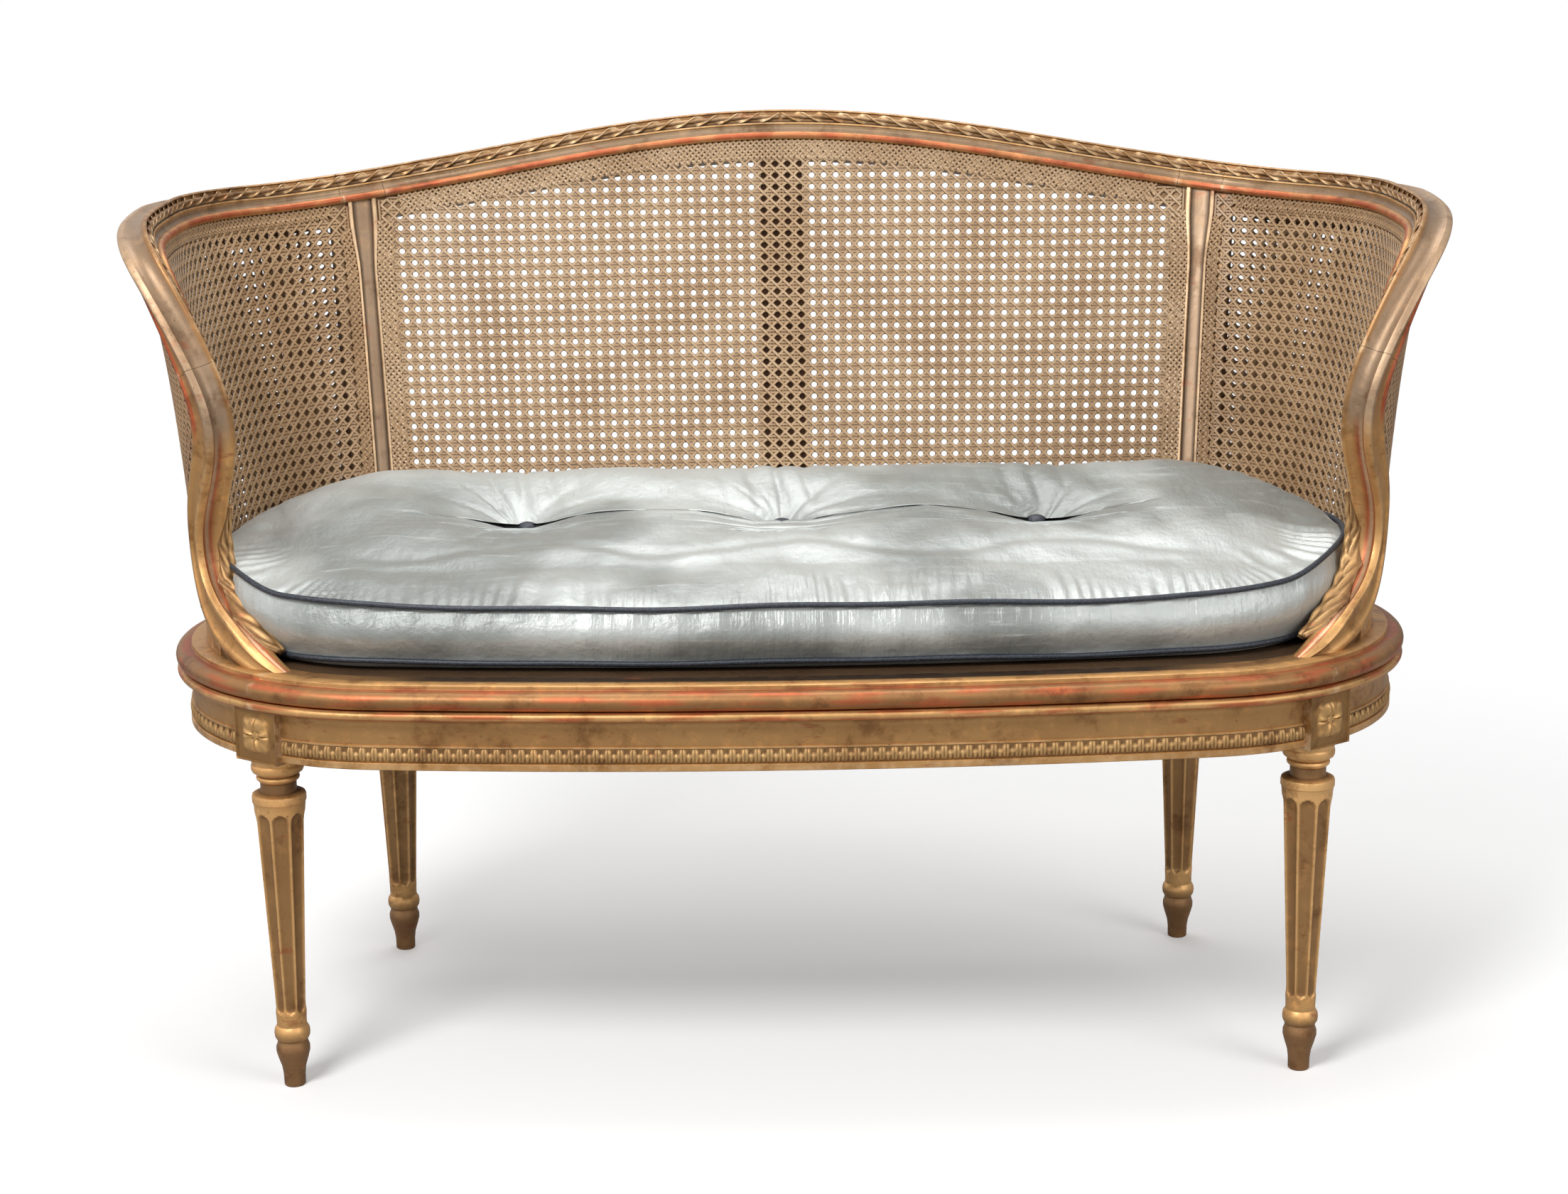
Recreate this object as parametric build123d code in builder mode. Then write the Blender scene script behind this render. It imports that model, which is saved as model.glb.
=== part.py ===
from build123d import *
import math
import os

os.makedirs("parts", exist_ok=True)

# Driving sizes in millimetres: X runs along the settee, -Y is its front, Z is up from the floor

# Seat plan: an oval with a bowed front, round ends and a straight back
end_center_x = 372.0
end_radius = 234.0
front_radius = 3600.0
rail_depth = 48.0
front_leg_angle = -54.3
rear_leg_angle = 73.3
leg_inset = 19.0

# Seat rail mouldings, from the bottom up, and how far each stands out from the flat frieze
seat_top = 422.0
bottom_fillet_height = 7.0
band_height = 15.0
band_fillet_height = 2.0
frieze_height = 17.0
cove_height = 10.0
bead_height = 7.0
groove_height = 1.5
nosing_radius = 9.0
step_height = 4.5
bottom_fillet_proud = 2.5
band_proud = 3.0
bead_proud = 12.0
nosing_proud = 14.0
step_inset = 2.0

# Legs
block_size = 54.0
block_drop = 2.0
foot_radius = 9.7
bulb_radius = 16.6
collar_radius = 17.4
ankle_radius = 14.6
shoulder_radius = 26.0
neck_radius = 17.4
capital_radius = 25.3
bulb_height = 37.0
collar_bottom = 47.5
collar_top = 63.5
shaft_bottom = 69.0
shoulder_height = 10.0
shaft_shoulder = 1.0
neck_height = 10.0
ring_height = 7.0
capital_height = 17.0
flute_margin = 6.0
flute_count = 8
flute_top_radius = 6.4
flute_bottom_radius = 4.0
flute_depth = 3.0
flute_step = 0.3
rosette_radius = 15.0
rosette_height = 2.5

# Joints of the seat frame
tenon_thickness = 14.0
tenon_height = 34.0
tenon_length = 16.0
peg_diameter = 7.0
peg_length = 40.0
foot_tenon_width = 12.0
foot_tenon_length = 20.0
foot_tenon_depth = 16.0
foot_tenon_root = 3.0
arm_tenon_angle = -44.0
joint_clearance = 0.2

# Basket back: a flared sheet that the frame, stiles and cane all follow
basket_foot_radius = 208.0
foot_sweep = 60.0
top_center_x = 395.0
top_radius = 237.0
top_setback = 98.0
top_bow = 12.0
arm_reach = 190.0
arm_toe_in = 10.0
side_flare = 0.35
arm_height = 828.0
crest_rise = 66.0
crest_span = 1.55

# Section of the moulded back frame, and the tongue that carries the cane
frame_half_width = 18.0
frame_half_height = 17.0
tongue_depth = 20.0
bend_tongue_depth = 9.0
support_tongue_depth = 12.0
tongue_half_thickness = 9.0
stile_width = 26.0
stile_head_flare = 14.0
stile_half_thickness = 15.0
stile_head_half = 25.0
post_width = 46.0
bottom_rail_height = 36.0
bottom_rail_half = 8.3
bottom_rail_end = 2.52
bottom_rail_lap = 2.0
arm_joint_turn = 7.1
dowel_diameter = 8.0
dowel_length = 36.0

# Cane
cane_thickness = 2.0
cane_gap = 1.2
side_cane_end = 3.0
cane_margin = 3.0
cane_room_side = 30.0
cane_room_above = 40.0
cane_foot = 10.0
side_cane_foot = 24.0
cane_bend_turn = 4.9
tongue_fade_turn = 2.2
seat_cane_lap = 14.0
seat_rebate_depth = 2.5
seat_cane_gap = 0.2

# Brace under the seat
brace_width = 40.0
brace_height = 24.0
brace_drop = 14.0
brace_tenon = 12.0

# Cushion
cushion_radius = 178.0
cushion_band_top = 483.0
cushion_band_bottom = 430.0
cushion_top = 556.0
cushion_seat_gap = 0.3
side_draw = 2.0
bottom_draw = 14.0
tuft_spacing = 258.0
tuft_depth = 36.0
tuft_radius = 88.0
tuft_shift = 12.0
button_diameter = 20.0
button_height = 6.0
piping_diameter = 5.5
piping_clearance = 0.15

# Heights that follow from the mouldings
torus_top = seat_top - step_height
torus_bottom = torus_top - 2 * nosing_radius
bead_top = torus_bottom - groove_height
cove_top = bead_top - bead_height
frieze_top = cove_top - cove_height
frieze_bottom = frieze_top - frieze_height
band_top = frieze_bottom - band_fillet_height
band_bottom = band_top - band_height
rail_bottom = band_bottom - bottom_fillet_height
block_bottom = rail_bottom - block_drop
block_top = cove_top
leg_radius = end_radius - leg_inset

# The oval's middle line stands where the whole box is centred on the origin
front_drop = math.sqrt((front_radius - end_radius) ** 2 - end_center_x**2)
front_reach = front_radius - front_drop + nosing_proud
basket_slope = (top_setback + top_radius + top_bow - basket_foot_radius) / (arm_height - seat_top)
basket_rake = math.atan(basket_slope)
crest_line = arm_height + crest_rise
back_reach = (
    basket_foot_radius
    + basket_slope * (crest_line - seat_top)
    + frame_half_width * math.cos(basket_rake)
    + frame_half_height * math.sin(basket_rake)
)
oval_y = (front_reach - back_reach) / 2
front_center_y = oval_y + front_drop
front_half_angle = math.degrees(math.asin(end_center_x / (front_radius - end_radius)))


def radial(angle):
    """Unit direction in plan at an angle from +X, in degrees."""
    return Vector(math.cos(math.radians(angle)), math.sin(math.radians(angle)), 0)


def upright(center, angle):
    """Upright plane through a vertical line: local x is outward, local y is up."""
    return Plane(origin=center, x_dir=radial(angle), z_dir=radial(angle - 90))


end_center = Vector(end_center_x, oval_y, 0)
front_center = Vector(0, front_center_y, 0)


# Basket surface
def plan_point(phi, center_x, center_y, radius, bow, side):
    """Half plan: the back is phi 0 to 1, the corner 1 to 2, the side 2 to 3."""
    if phi <= 1:
        return center_x * phi, center_y + radius + bow * (1 + math.cos(math.pi * phi)) / 2
    if phi <= 2:
        turn = math.radians(90 * (2 - phi))
        return center_x + radius * math.cos(turn), center_y + radius * math.sin(turn)
    return side(phi - 2)


def foot_side(u):
    """Side of the plan on the seat: the round end goes on towards the front."""
    turn = math.radians(foot_sweep * u)
    return end_center_x + basket_foot_radius * math.cos(turn), oval_y - basket_foot_radius * math.sin(turn)


def top_side(u):
    """Side of the plan at arm height: nearly straight, toeing in a little."""
    return top_center_x + top_radius - arm_toe_in * u * u, oval_y + top_setback - arm_reach * u


def basket(phi, z):
    """Middle of the basket's thickness: plan lines on the seat and at arm height, joined by a flare."""
    side = math.copysign(1, phi)
    p = abs(phi)
    x0, y0 = plan_point(p, end_center_x, oval_y, basket_foot_radius, 0, foot_side)
    x1, y1 = plan_point(p, top_center_x, oval_y + top_setback, top_radius, top_bow, top_side)
    t = (z - seat_top) / (arm_height - seat_top)
    k = min(max(p - 1, 0), 1)
    k = k * k * (3 - 2 * k)
    g = (1 - k) * t + k * (side_flare * t + (1 - side_flare) * t * abs(t))
    return Vector(side * (x0 + (x1 - x0) * g), y0 + (y1 - y0) * g, z)


def along(phi, z):
    """Change of the basket point with phi."""
    step = 1e-4
    return (basket(phi + step, z) - basket(phi - step, z)) / (2 * step)


def upward(phi, z):
    """Change of the basket point with height."""
    step = 0.05
    return (basket(phi, z + step) - basket(phi, z - step)) / (2 * step)


def inward(phi, z):
    """Unit normal of the basket, towards the sitter."""
    return along(phi, z).cross(upward(phi, z)).normalized()


# Centre line of the moulded frame on the basket: the crest by a formula, then the arm by a smooth curve
arm_above = [(1.55, 0), (1.85, 0), (2.15, 0.5), (2.45, 2), (2.76, 5), (2.99, 20), (3.0, 66), (2.99, 116)]
arm_below = [(2.95, 238), (2.74, 186), (2.48, 138), (2.40, 90), (2.49, 48), (2.72, 20), (2.95, -2)]
arm_points = [(p, arm_height - d) for p, d in arm_above] + [(p, seat_top + h) for p, h in arm_below]
arm_step = 0.3
path_end = crest_span + arm_step * (len(arm_points) - 1)


def smooth_curve(points, t):
    """Even cubic B-spline through its first and last points."""
    first = tuple(2 * a - b for a, b in zip(points[0], points[1]))
    last = tuple(2 * a - b for a, b in zip(points[-1], points[-2]))
    padded = [first, *points, last]
    i = min(max(int(t), 0), len(points) - 2)
    f = t - i
    weights = ((1 - f) ** 3, 3 * f**3 - 6 * f**2 + 4, -3 * f**3 + 3 * f**2 + 3 * f + 1, f**3)
    return tuple(sum(w * padded[i + j][k] for j, w in enumerate(weights)) / 6 for k in range(2))


def frame_line(s):
    """Plan parameter and height of the frame's centre line, from the crest's middle to the arm's foot."""
    if abs(s) <= crest_span:
        return s, arm_height + crest_rise * math.cos(math.pi / 2 * s / crest_span) ** 2
    return smooth_curve(arm_points, (s - crest_span) / arm_step)


def frame_point(s):
    return basket(*frame_line(s))


def frame_plane(s):
    """Plane across the frame: local x is inward, local y is away from the cane."""
    step = 1e-3
    tangent = (frame_point(s + step) - frame_point(s - step)).normalized()
    return Plane(origin=frame_point(s), x_dir=inward(*frame_line(s)), z_dir=-tangent)


def tongue_at(s):
    """Depth of the tongue, drawn in where the arm bends down."""
    bend = crest_span + cane_bend_turn * arm_step
    near = max(0, 1 - abs(s - bend) / (tongue_fade_turn * arm_step))
    full = support_tongue_depth if s > bend else tongue_depth
    return full - (full - bend_tongue_depth) * near * near * (3 - 2 * near)


def beside_frame(s, reach):
    """Nearest place on the basket to a point at a given reach from the frame towards the cane."""
    place = frame_plane(s)
    target = place.origin - place.y_dir * reach
    phi, z = frame_line(s)
    for _ in range(4):
        left = target - basket(phi, z)
        run, rise = along(phi, z), upward(phi, z)
        a, b, c = run.dot(run), run.dot(rise), rise.dot(rise)
        d, e = left.dot(run), left.dot(rise)
        phi += (d * c - e * b) / (a * c - b * b)
        z += (e * a - d * b) / (a * c - b * b)
    return phi, z


def sheet_shift(s, reach):
    """How far the basket curves away from the frame's straight section at a given reach."""
    place = frame_plane(s)
    near = beside_frame(s, reach)
    return (basket(*near) - place.origin + place.y_dir * reach).dot(inward(*near))


def frame_section(s):
    """Moulded section of the frame, with a tongue that leans to follow the basket."""
    w, h, t = frame_half_width, frame_half_height, tongue_half_thickness
    low = -h - tongue_at(s)
    root = sheet_shift(s, h)
    tip = sheet_shift(s, -low)
    with BuildSketch(frame_plane(s)) as section:
        with BuildLine():
            Polyline(
                (tip + t, low),
                (root + t, -h),
                (w - 1, -h),
                (w, -h + 4),
                (w - 1, -h + 8),
                (w - 5, -h + 9),
                (w - 6, -h + 15),
                (w - 3, -h + 22),
                (w - 3, h - 5),
                (w - 8, h),
                (w - 14, h - 2),
                (-w + 7, h - 3),
                (-w + 5, h),
                (-w, h),
                (-w, h - 5),
                (-w + 4, h - 10),
                (-w + 4, -h + 12),
                (-w + 1, -h + 7),
                (-w, -h + 4),
                (-w + 1, -h),
                (root - t, -h),
                (tip - t, low),
                close=True,
            )
        make_face()
    return section.sketch


def stations(start, end, count):
    return [start + (end - start) * i / (count - 1) for i in range(count)]


def frame_loft(start, end, count):
    """Adds the frame between two places on its centre line to the part being built."""
    loft([frame_section(s) for s in stations(start, end, count)])


# Seat rails
def rail_face(plane, radius):
    """Section of a seat rail on an upright plane: local x is the distance from the arc's centre."""
    inner = radius - rail_depth
    lap = inner + seat_cane_lap + seat_cane_gap
    with BuildSketch(plane) as face:
        with BuildLine():
            Polyline(
                (inner, seat_top - seat_rebate_depth),
                (inner, rail_bottom),
                (radius + bottom_fillet_proud, rail_bottom),
                (radius + bottom_fillet_proud, band_bottom),
                (radius, band_bottom),
            )
            ThreePointArc(
                (radius, band_bottom),
                (radius + band_proud, (band_bottom + band_top) / 2),
                (radius, band_top),
            )
            Polyline((radius, band_top), (radius + 1, band_top), (radius + 1, frieze_bottom))
            Polyline((radius + 1, frieze_bottom), (radius, frieze_bottom), (radius, frieze_top))
            cove_side = bead_proud - 1
            ThreePointArc(
                (radius, frieze_top),
                (radius + cove_side * 0.29, frieze_top + cove_height * 0.71),
                (radius + cove_side, cove_top),
            )
            torus_x = radius + nosing_proud - nosing_radius
            Polyline(
                (radius + cove_side, cove_top),
                (radius + bead_proud, cove_top),
                (radius + bead_proud, bead_top),
                (torus_x, bead_top),
                (torus_x, torus_bottom),
            )
            ThreePointArc(
                (torus_x, torus_bottom),
                (torus_x + nosing_radius, torus_bottom + nosing_radius),
                (torus_x, torus_top),
            )
            Polyline(
                (torus_x, torus_top),
                (radius - step_inset, torus_top),
                (radius - step_inset, seat_top),
                (lap, seat_top),
                (lap, seat_top - seat_rebate_depth),
                (inner, seat_top - seat_rebate_depth),
            )
        make_face()
    return face.sketch


def corner_plane(angle, z, side=1):
    """Level plane on a leg's axis: local x is outward from the seat."""
    out = radial(angle)
    origin = end_center + out * leg_radius
    return Plane(
        origin=(side * origin.X, origin.Y, z),
        x_dir=(side * out.X, out.Y, 0),
        z_dir=(0, 0, 1),
    )


def corner_cuts(angle):
    """Takes the corner block's place out of a rail."""
    with BuildSketch(corner_plane(angle, block_bottom)) as place:
        Rectangle(block_size, block_size)
    extrude(place.sketch, amount=block_top - block_bottom, mode=Mode.SUBTRACT)


tenon_middle = (block_bottom + block_top) / 2
tenon_root = 4.0


def tenon(angle, way):
    """Adds a rail's tenon, reaching into the block from the side that way points to."""
    middle = way * (block_size / 2 + (tenon_root - tenon_length) / 2)
    with BuildSketch(corner_plane(angle, tenon_middle - tenon_height / 2)) as face:
        with Locations((0, middle)):
            Rectangle(tenon_thickness, tenon_length + tenon_root)
    extrude(face.sketch, amount=tenon_height)
    peg_hole(angle, way)


def peg_plane(angle, way, side=1):
    """Plane at the inner end of a peg, whose axis runs outward through block and tenon."""
    flat = corner_plane(angle, tenon_middle, side)
    offset = way * (block_size - tenon_length) / 2
    start = flat.origin + flat.y_dir * offset - flat.x_dir * peg_length / 2
    return Plane(origin=start, x_dir=flat.y_dir, z_dir=flat.x_dir)


def peg_hole(angle, way, side=1):
    with BuildSketch(peg_plane(angle, way, side)) as hole:
        Circle(peg_diameter / 2 + joint_clearance / 2)
    extrude(hole.sketch, amount=peg_length, mode=Mode.SUBTRACT)


def brace_mortise(y):
    """Pocket for one end of the cross brace."""
    with BuildSketch(Plane.XY.offset(seat_top - brace_drop - brace_height - joint_clearance)) as pocket:
        with Locations((0, y)):
            Rectangle(brace_width / 2 + 2 * joint_clearance, 2 * (brace_tenon + joint_clearance))
    extrude(pocket.sketch, amount=brace_height + 2 * joint_clearance, mode=Mode.SUBTRACT)


rail_inner_front = oval_y - (front_radius - front_drop) + rail_depth
rail_inner_back = oval_y + end_radius - rail_depth


def foot_face(angle, width, length, z):
    """Rectangle on the middle line of the basket's foot: width is across the rail, length along it."""
    out = radial(angle)
    place = Plane(origin=end_center + out * basket_foot_radius + Vector(0, 0, z), x_dir=out, z_dir=(0, 0, 1))
    with BuildSketch(place) as face:
        Rectangle(width, length)
    return face.sketch


def foot_mortise(angle):
    """Pocket in the top of the seat rail for a tenon under the basket."""
    slack = 2 * joint_clearance
    face = foot_face(angle, foot_tenon_width + slack, foot_tenon_length + slack, seat_top)
    extrude(face, amount=-foot_tenon_depth - joint_clearance, mode=Mode.SUBTRACT)


def foot_tenon(angle):
    """Tenon under a stile or an arm support."""
    face = foot_face(angle, foot_tenon_width, foot_tenon_length, seat_top - foot_tenon_depth)
    extrude(face, amount=foot_tenon_depth + foot_tenon_root)


end_axis = Axis(end_center, (0, 0, 1))
front_axis = Axis(front_center, (0, 0, 1))
front_turn = front_half_angle - 90

with BuildPart() as front_seat_rail:
    revolve(rail_face(upright(front_center, -90), front_radius), front_axis, front_half_angle)
    revolve(rail_face(upright(end_center, front_turn), end_radius), end_axis, front_leg_angle - front_turn)
    corner_cuts(front_leg_angle)
    tenon(front_leg_angle, -1)
    mirror(about=Plane.YZ)
    brace_mortise(rail_inner_front)

with BuildPart() as right_seat_rail:
    rail_turn = rear_leg_angle - front_leg_angle
    revolve(rail_face(upright(end_center, front_leg_angle), end_radius), end_axis, rail_turn)
    corner_cuts(front_leg_angle)
    corner_cuts(rear_leg_angle)
    tenon(front_leg_angle, 1)
    tenon(rear_leg_angle, -1)
    foot_mortise(rear_leg_angle)
    foot_mortise(arm_tenon_angle)

with BuildPart() as back_seat_rail:
    revolve(rail_face(upright(end_center, rear_leg_angle), end_radius), end_axis, 90 - rear_leg_angle)
    extrude(rail_face(upright(end_center, 90), end_radius), amount=-end_center_x)
    corner_cuts(rear_leg_angle)
    tenon(rear_leg_angle, 1)
    foot_mortise(rear_leg_angle)
    mirror(about=Plane.YZ)
    brace_mortise(rail_inner_back)

with BuildPart() as seat_cross_brace:
    brace_top = seat_top - brace_drop
    brace_length = rail_inner_back - rail_inner_front
    brace_middle = (rail_inner_back + rail_inner_front) / 2
    with BuildSketch(Plane.XY.offset(brace_top - brace_height)):
        with Locations((0, brace_middle)):
            Rectangle(brace_width, brace_length - 2 * joint_clearance)
            Rectangle(brace_width / 2, brace_length + 2 * brace_tenon)
    extrude(amount=brace_height)

# One leg on the Z axis, its block's carved face towards +X
capital_bottom = block_bottom - capital_height
torus_ring_bottom = capital_bottom - ring_height
neck_bottom = torus_ring_bottom - neck_height
shoulder_bottom = neck_bottom - shoulder_height

flute_low = shaft_bottom + flute_margin
flute_high = shoulder_bottom - flute_margin
shaft_slope = (shoulder_radius - shaft_shoulder - ankle_radius) / (shoulder_bottom - shaft_bottom)
low_radius = ankle_radius + shaft_slope * flute_margin
high_radius = ankle_radius + shaft_slope * (flute_high - shaft_bottom)

with BuildPart() as leg_blank:
    with BuildSketch(Plane.XZ):
        with BuildLine():
            Line((0, 0), (foot_radius, 0))
            Bezier(
                (foot_radius, 0),
                (foot_radius + 1, 0.5 * bulb_height),
                (bulb_radius - 0.5, 0.6 * bulb_height),
                (bulb_radius, bulb_height),
            )
            collar_middle = (collar_bottom + collar_top) / 2
            Bezier(
                (bulb_radius, bulb_height),
                (bulb_radius, (bulb_height + collar_bottom) / 2),
                (ankle_radius, (bulb_height + collar_bottom) / 2),
                (ankle_radius, collar_bottom),
            )
            ThreePointArc(
                (ankle_radius, collar_bottom), (collar_radius, collar_middle), (ankle_radius, collar_top)
            )
            Polyline(
                (ankle_radius, collar_top),
                (ankle_radius, shaft_bottom),
                (low_radius + flute_step, flute_low),
                (0, flute_low),
                (0, 0),
            )
        make_face()
    revolve(axis=Axis.Z)
    for z, radius, flute in (
        (flute_low, low_radius, flute_bottom_radius),
        (flute_high, high_radius, flute_top_radius),
    ):
        with BuildSketch(Plane.XY.offset(z)):
            Circle(radius)
            with PolarLocations(radius + flute - flute_depth, flute_count, start_angle=180 / flute_count):
                Circle(flute, mode=Mode.SUBTRACT)
    loft(ruled=True)
    with BuildSketch(Plane.XZ):
        with BuildLine():
            Polyline(
                (0, flute_high),
                (high_radius + flute_step, flute_high),
                (shoulder_radius - shaft_shoulder, shoulder_bottom),
                (shoulder_radius, shoulder_bottom),
            )
            ThreePointArc(
                (shoulder_radius, shoulder_bottom),
                (neck_radius + 0.8 * (shoulder_radius - neck_radius), shoulder_bottom + 0.7 * shoulder_height),
                (neck_radius, neck_bottom),
            )
            Line((neck_radius, neck_bottom), (neck_radius, torus_ring_bottom))
            ThreePointArc(
                (neck_radius, torus_ring_bottom),
                (neck_radius + ring_height / 2, (torus_ring_bottom + capital_bottom) / 2),
                (neck_radius, capital_bottom),
            )
            Polyline(
                (neck_radius, capital_bottom),
                (capital_radius, capital_bottom),
                (capital_radius, block_bottom),
                (0, block_bottom),
                (0, flute_high),
            )
        make_face()
    revolve(axis=Axis.Z)
    with BuildSketch(Plane.XY.offset(block_bottom)):
        Rectangle(block_size, block_size)
    extrude(amount=block_top - block_bottom)
    with BuildSketch(Plane(origin=(block_size / 2, 0, tenon_middle), x_dir=(0, 1, 0), z_dir=(1, 0, 0))):
        Circle(rosette_radius / 4)
        with PolarLocations(rosette_radius * 0.6, 4, start_angle=45):
            Ellipse(rosette_radius * 0.4, rosette_radius * 0.28)
    extrude(amount=rosette_height)
    for way in (-1, 1):
        with BuildSketch(Plane.XY.offset(tenon_middle - tenon_height / 2 - joint_clearance)):
            with Locations((0, way * (block_size - tenon_length - joint_clearance) / 2)):
                Rectangle(tenon_thickness + 2 * joint_clearance, tenon_length + joint_clearance)
        extrude(amount=tenon_height + 2 * joint_clearance, mode=Mode.SUBTRACT)
        peg_place = Plane(
            origin=(-peg_length / 2, way * (block_size - tenon_length) / 2, tenon_middle),
            x_dir=(0, 1, 0),
            z_dir=(1, 0, 0),
        )
        with BuildSketch(peg_place):
            Circle(peg_diameter / 2 + joint_clearance / 2)
        extrude(amount=peg_length, mode=Mode.SUBTRACT)

legs = {
    "front_left_leg": (front_leg_angle, -1),
    "front_right_leg": (front_leg_angle, 1),
    "rear_left_leg": (rear_leg_angle, -1),
    "rear_right_leg": (rear_leg_angle, 1),
}
for name, (angle, side) in legs.items():
    with BuildPart() as leg:
        with Locations(corner_plane(angle, 0, side)):
            add(leg_blank.part)
    leg.part.label = name
    export_step(leg.part, f"parts/{name}.step")

with BuildPart() as seat_frame_pegs:
    for angle, side in legs.values():
        for way in (-1, 1):
            with BuildSketch(peg_plane(angle, way, side)):
                Circle(peg_diameter / 2)
            extrude(amount=peg_length)

# Back frame
stile_phi = 1 + (90 - rear_leg_angle) / 90
head_speed = along(stile_phi, frame_line(stile_phi)[1]).length
head_start = stile_phi - stile_head_half / head_speed
head_end = stile_phi + stile_head_half / head_speed


def dowel_face(s, radius):
    with BuildSketch(frame_plane(s)) as face:
        Circle(radius)
    return face.sketch


def dowel_hole(s):
    """Hole for a dowel across the frame's joint at s."""
    face = dowel_face(s, dowel_diameter / 2 + joint_clearance / 2)
    extrude(face, amount=dowel_length / 2 + joint_clearance, both=True, mode=Mode.SUBTRACT)


def stile_plane(phi, z):
    """Plane across an upright of the basket: local x runs along the back, local y outward."""
    return Plane(origin=basket(phi, z), x_dir=along(phi, z), z_dir=upward(phi, z))


def upright_loft(phi, heights, widths, half_thickness):
    """Upright board on the basket, through rectangles at the given heights."""
    faces = []
    for z, width in zip(heights, widths):
        with BuildSketch(stile_plane(phi, z)) as face:
            Rectangle(width, 2 * half_thickness)
        faces.append(face.sketch)
    loft(faces, ruled=True)


def stile_tongue(z):
    """Section of a stile's two tongues, bent round the corner as the cane is."""
    place = stile_plane(stile_phi, z)
    middle = []
    for turn in stations(-1, 1, 5):
        phi = stile_phi + turn * (stile_width / 2 + tongue_depth) / along(stile_phi, z).length
        middle.append(place.to_local_coords(basket(phi, z)))
    near = [(p.X, p.Y - tongue_half_thickness) for p in middle]
    far = [(p.X, p.Y + tongue_half_thickness) for p in reversed(middle)]
    with BuildSketch(place) as face:
        with BuildLine():
            Polyline(*near, *far, close=True)
        make_face()
    return face.sketch


with BuildPart() as crest_rail:
    frame_loft(-head_start, head_start, 13)
    dowel_hole(head_start)
    dowel_hole(-head_start)

with BuildPart() as right_back_stile:
    stile_top = frame_line(stile_phi)[1]
    lean = upward(stile_phi, stile_top).normalized().Z
    head_under = stile_top - (frame_half_height + tongue_depth) * lean
    below_seat = seat_top - foot_tenon_depth
    upright_loft(
        stile_phi,
        (below_seat, head_under - 2 * stile_head_flare, head_under, stile_top - frame_half_height * lean / 2),
        (stile_width, stile_width, stile_width + stile_head_flare / 2, stile_width + stile_head_flare),
        stile_half_thickness,
    )
    loft([stile_tongue(z) for z in stations(below_seat, head_under - joint_clearance, 7)], ruled=True)
    split(bisect_by=Plane.XY.offset(seat_top), keep=Keep.TOP)
    frame_loft(head_start, head_end, 3)
    foot_tenon(rear_leg_angle)
    dowel_hole(head_start)
    dowel_hole(head_end)

arm_joint = crest_span + arm_joint_turn * arm_step

with BuildPart() as right_arm_rail:
    frame_loft(head_end, arm_joint, 18)
    add(right_back_stile.part, mode=Mode.SUBTRACT)
    dowel_hole(head_end)
    dowel_hole(arm_joint)

with BuildPart() as right_arm_support:
    frame_loft(arm_joint, path_end, 22)
    split(bisect_by=Plane.XY.offset(seat_top), keep=Keep.TOP)
    foot_tenon(arm_tenon_angle)
    dowel_hole(arm_joint)


def bottom_loft(start, end, count):
    """Board that stands on the seat rail and carries the lower edge of the cane."""
    faces = []
    middle = seat_top + bottom_rail_height / 2
    for phi in stations(start, end, count):
        place = Plane(origin=basket(phi, middle), x_dir=inward(phi, middle), z_dir=-along(phi, middle))
        with BuildSketch(place) as face:
            with Locations((0, bottom_rail_height / 2)):
                size = (2 * bottom_rail_half, 2 * bottom_rail_height)
                Rectangle(*size, align=(Align.CENTER, Align.MAX))
        faces.append(face.sketch)
    loft(faces)
    split(bisect_by=Plane.XY.offset(seat_top), keep=Keep.TOP)


foot_speed = along(stile_phi, seat_top).length
stile_edge = (stile_width / 2 + tongue_depth - bottom_rail_lap) / foot_speed

with BuildPart() as right_bottom_rail:
    bottom_loft(stile_phi + stile_edge, bottom_rail_end, 12)
    add(right_back_stile.part, mode=Mode.SUBTRACT)
    add(right_arm_support.part, mode=Mode.SUBTRACT)

with BuildPart() as back_bottom_rail:
    bottom_loft(stile_edge - stile_phi, stile_phi - stile_edge, 15)
    add(right_back_stile.part, mode=Mode.SUBTRACT)
    mirror(right_back_stile.part, about=Plane.YZ, mode=Mode.SUBTRACT)

with BuildPart() as center_back_post:
    post_lean = upward(0, crest_line).normalized().Z
    post_foot = seat_top + bottom_rail_height / 2 * (1 + post_lean)
    post_head = crest_line - (frame_half_height + tongue_depth) * post_lean
    post_heights = (post_foot + joint_clearance, post_head - 3 * joint_clearance)
    upright_loft(0, post_heights, (post_width, post_width), tongue_half_thickness)

with BuildPart() as crest_dowels:
    for s in (head_start, head_end):
        extrude(dowel_face(s, dowel_diameter / 2), amount=dowel_length / 2, both=True)
    mirror(about=Plane.YZ)

with BuildPart() as arm_dowels:
    extrude(dowel_face(arm_joint, dowel_diameter / 2), amount=dowel_length / 2, both=True)
    mirror(about=Plane.YZ)

# Cane sheets
frame_inner = frame_half_height + cane_margin


def between(points, value, key):
    """Straight interpolation of the other coordinate along a list of pairs."""
    for a, b in zip(points, points[1:]):
        low, high = sorted((a[key], b[key]))
        if low <= value <= high and high > low:
            f = (value - a[key]) / (b[key] - a[key])
            return a[1 - key] + f * (b[1 - key] - a[1 - key])
    nearest = min(points, key=lambda p: abs(p[key] - value))
    return nearest[1 - key]


top_edge = [beside_frame(s, frame_inner) for s in stations(0, crest_span, 40)]
cane_low = seat_top + cane_foot
side_cane_low = seat_top + side_cane_foot


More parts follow.
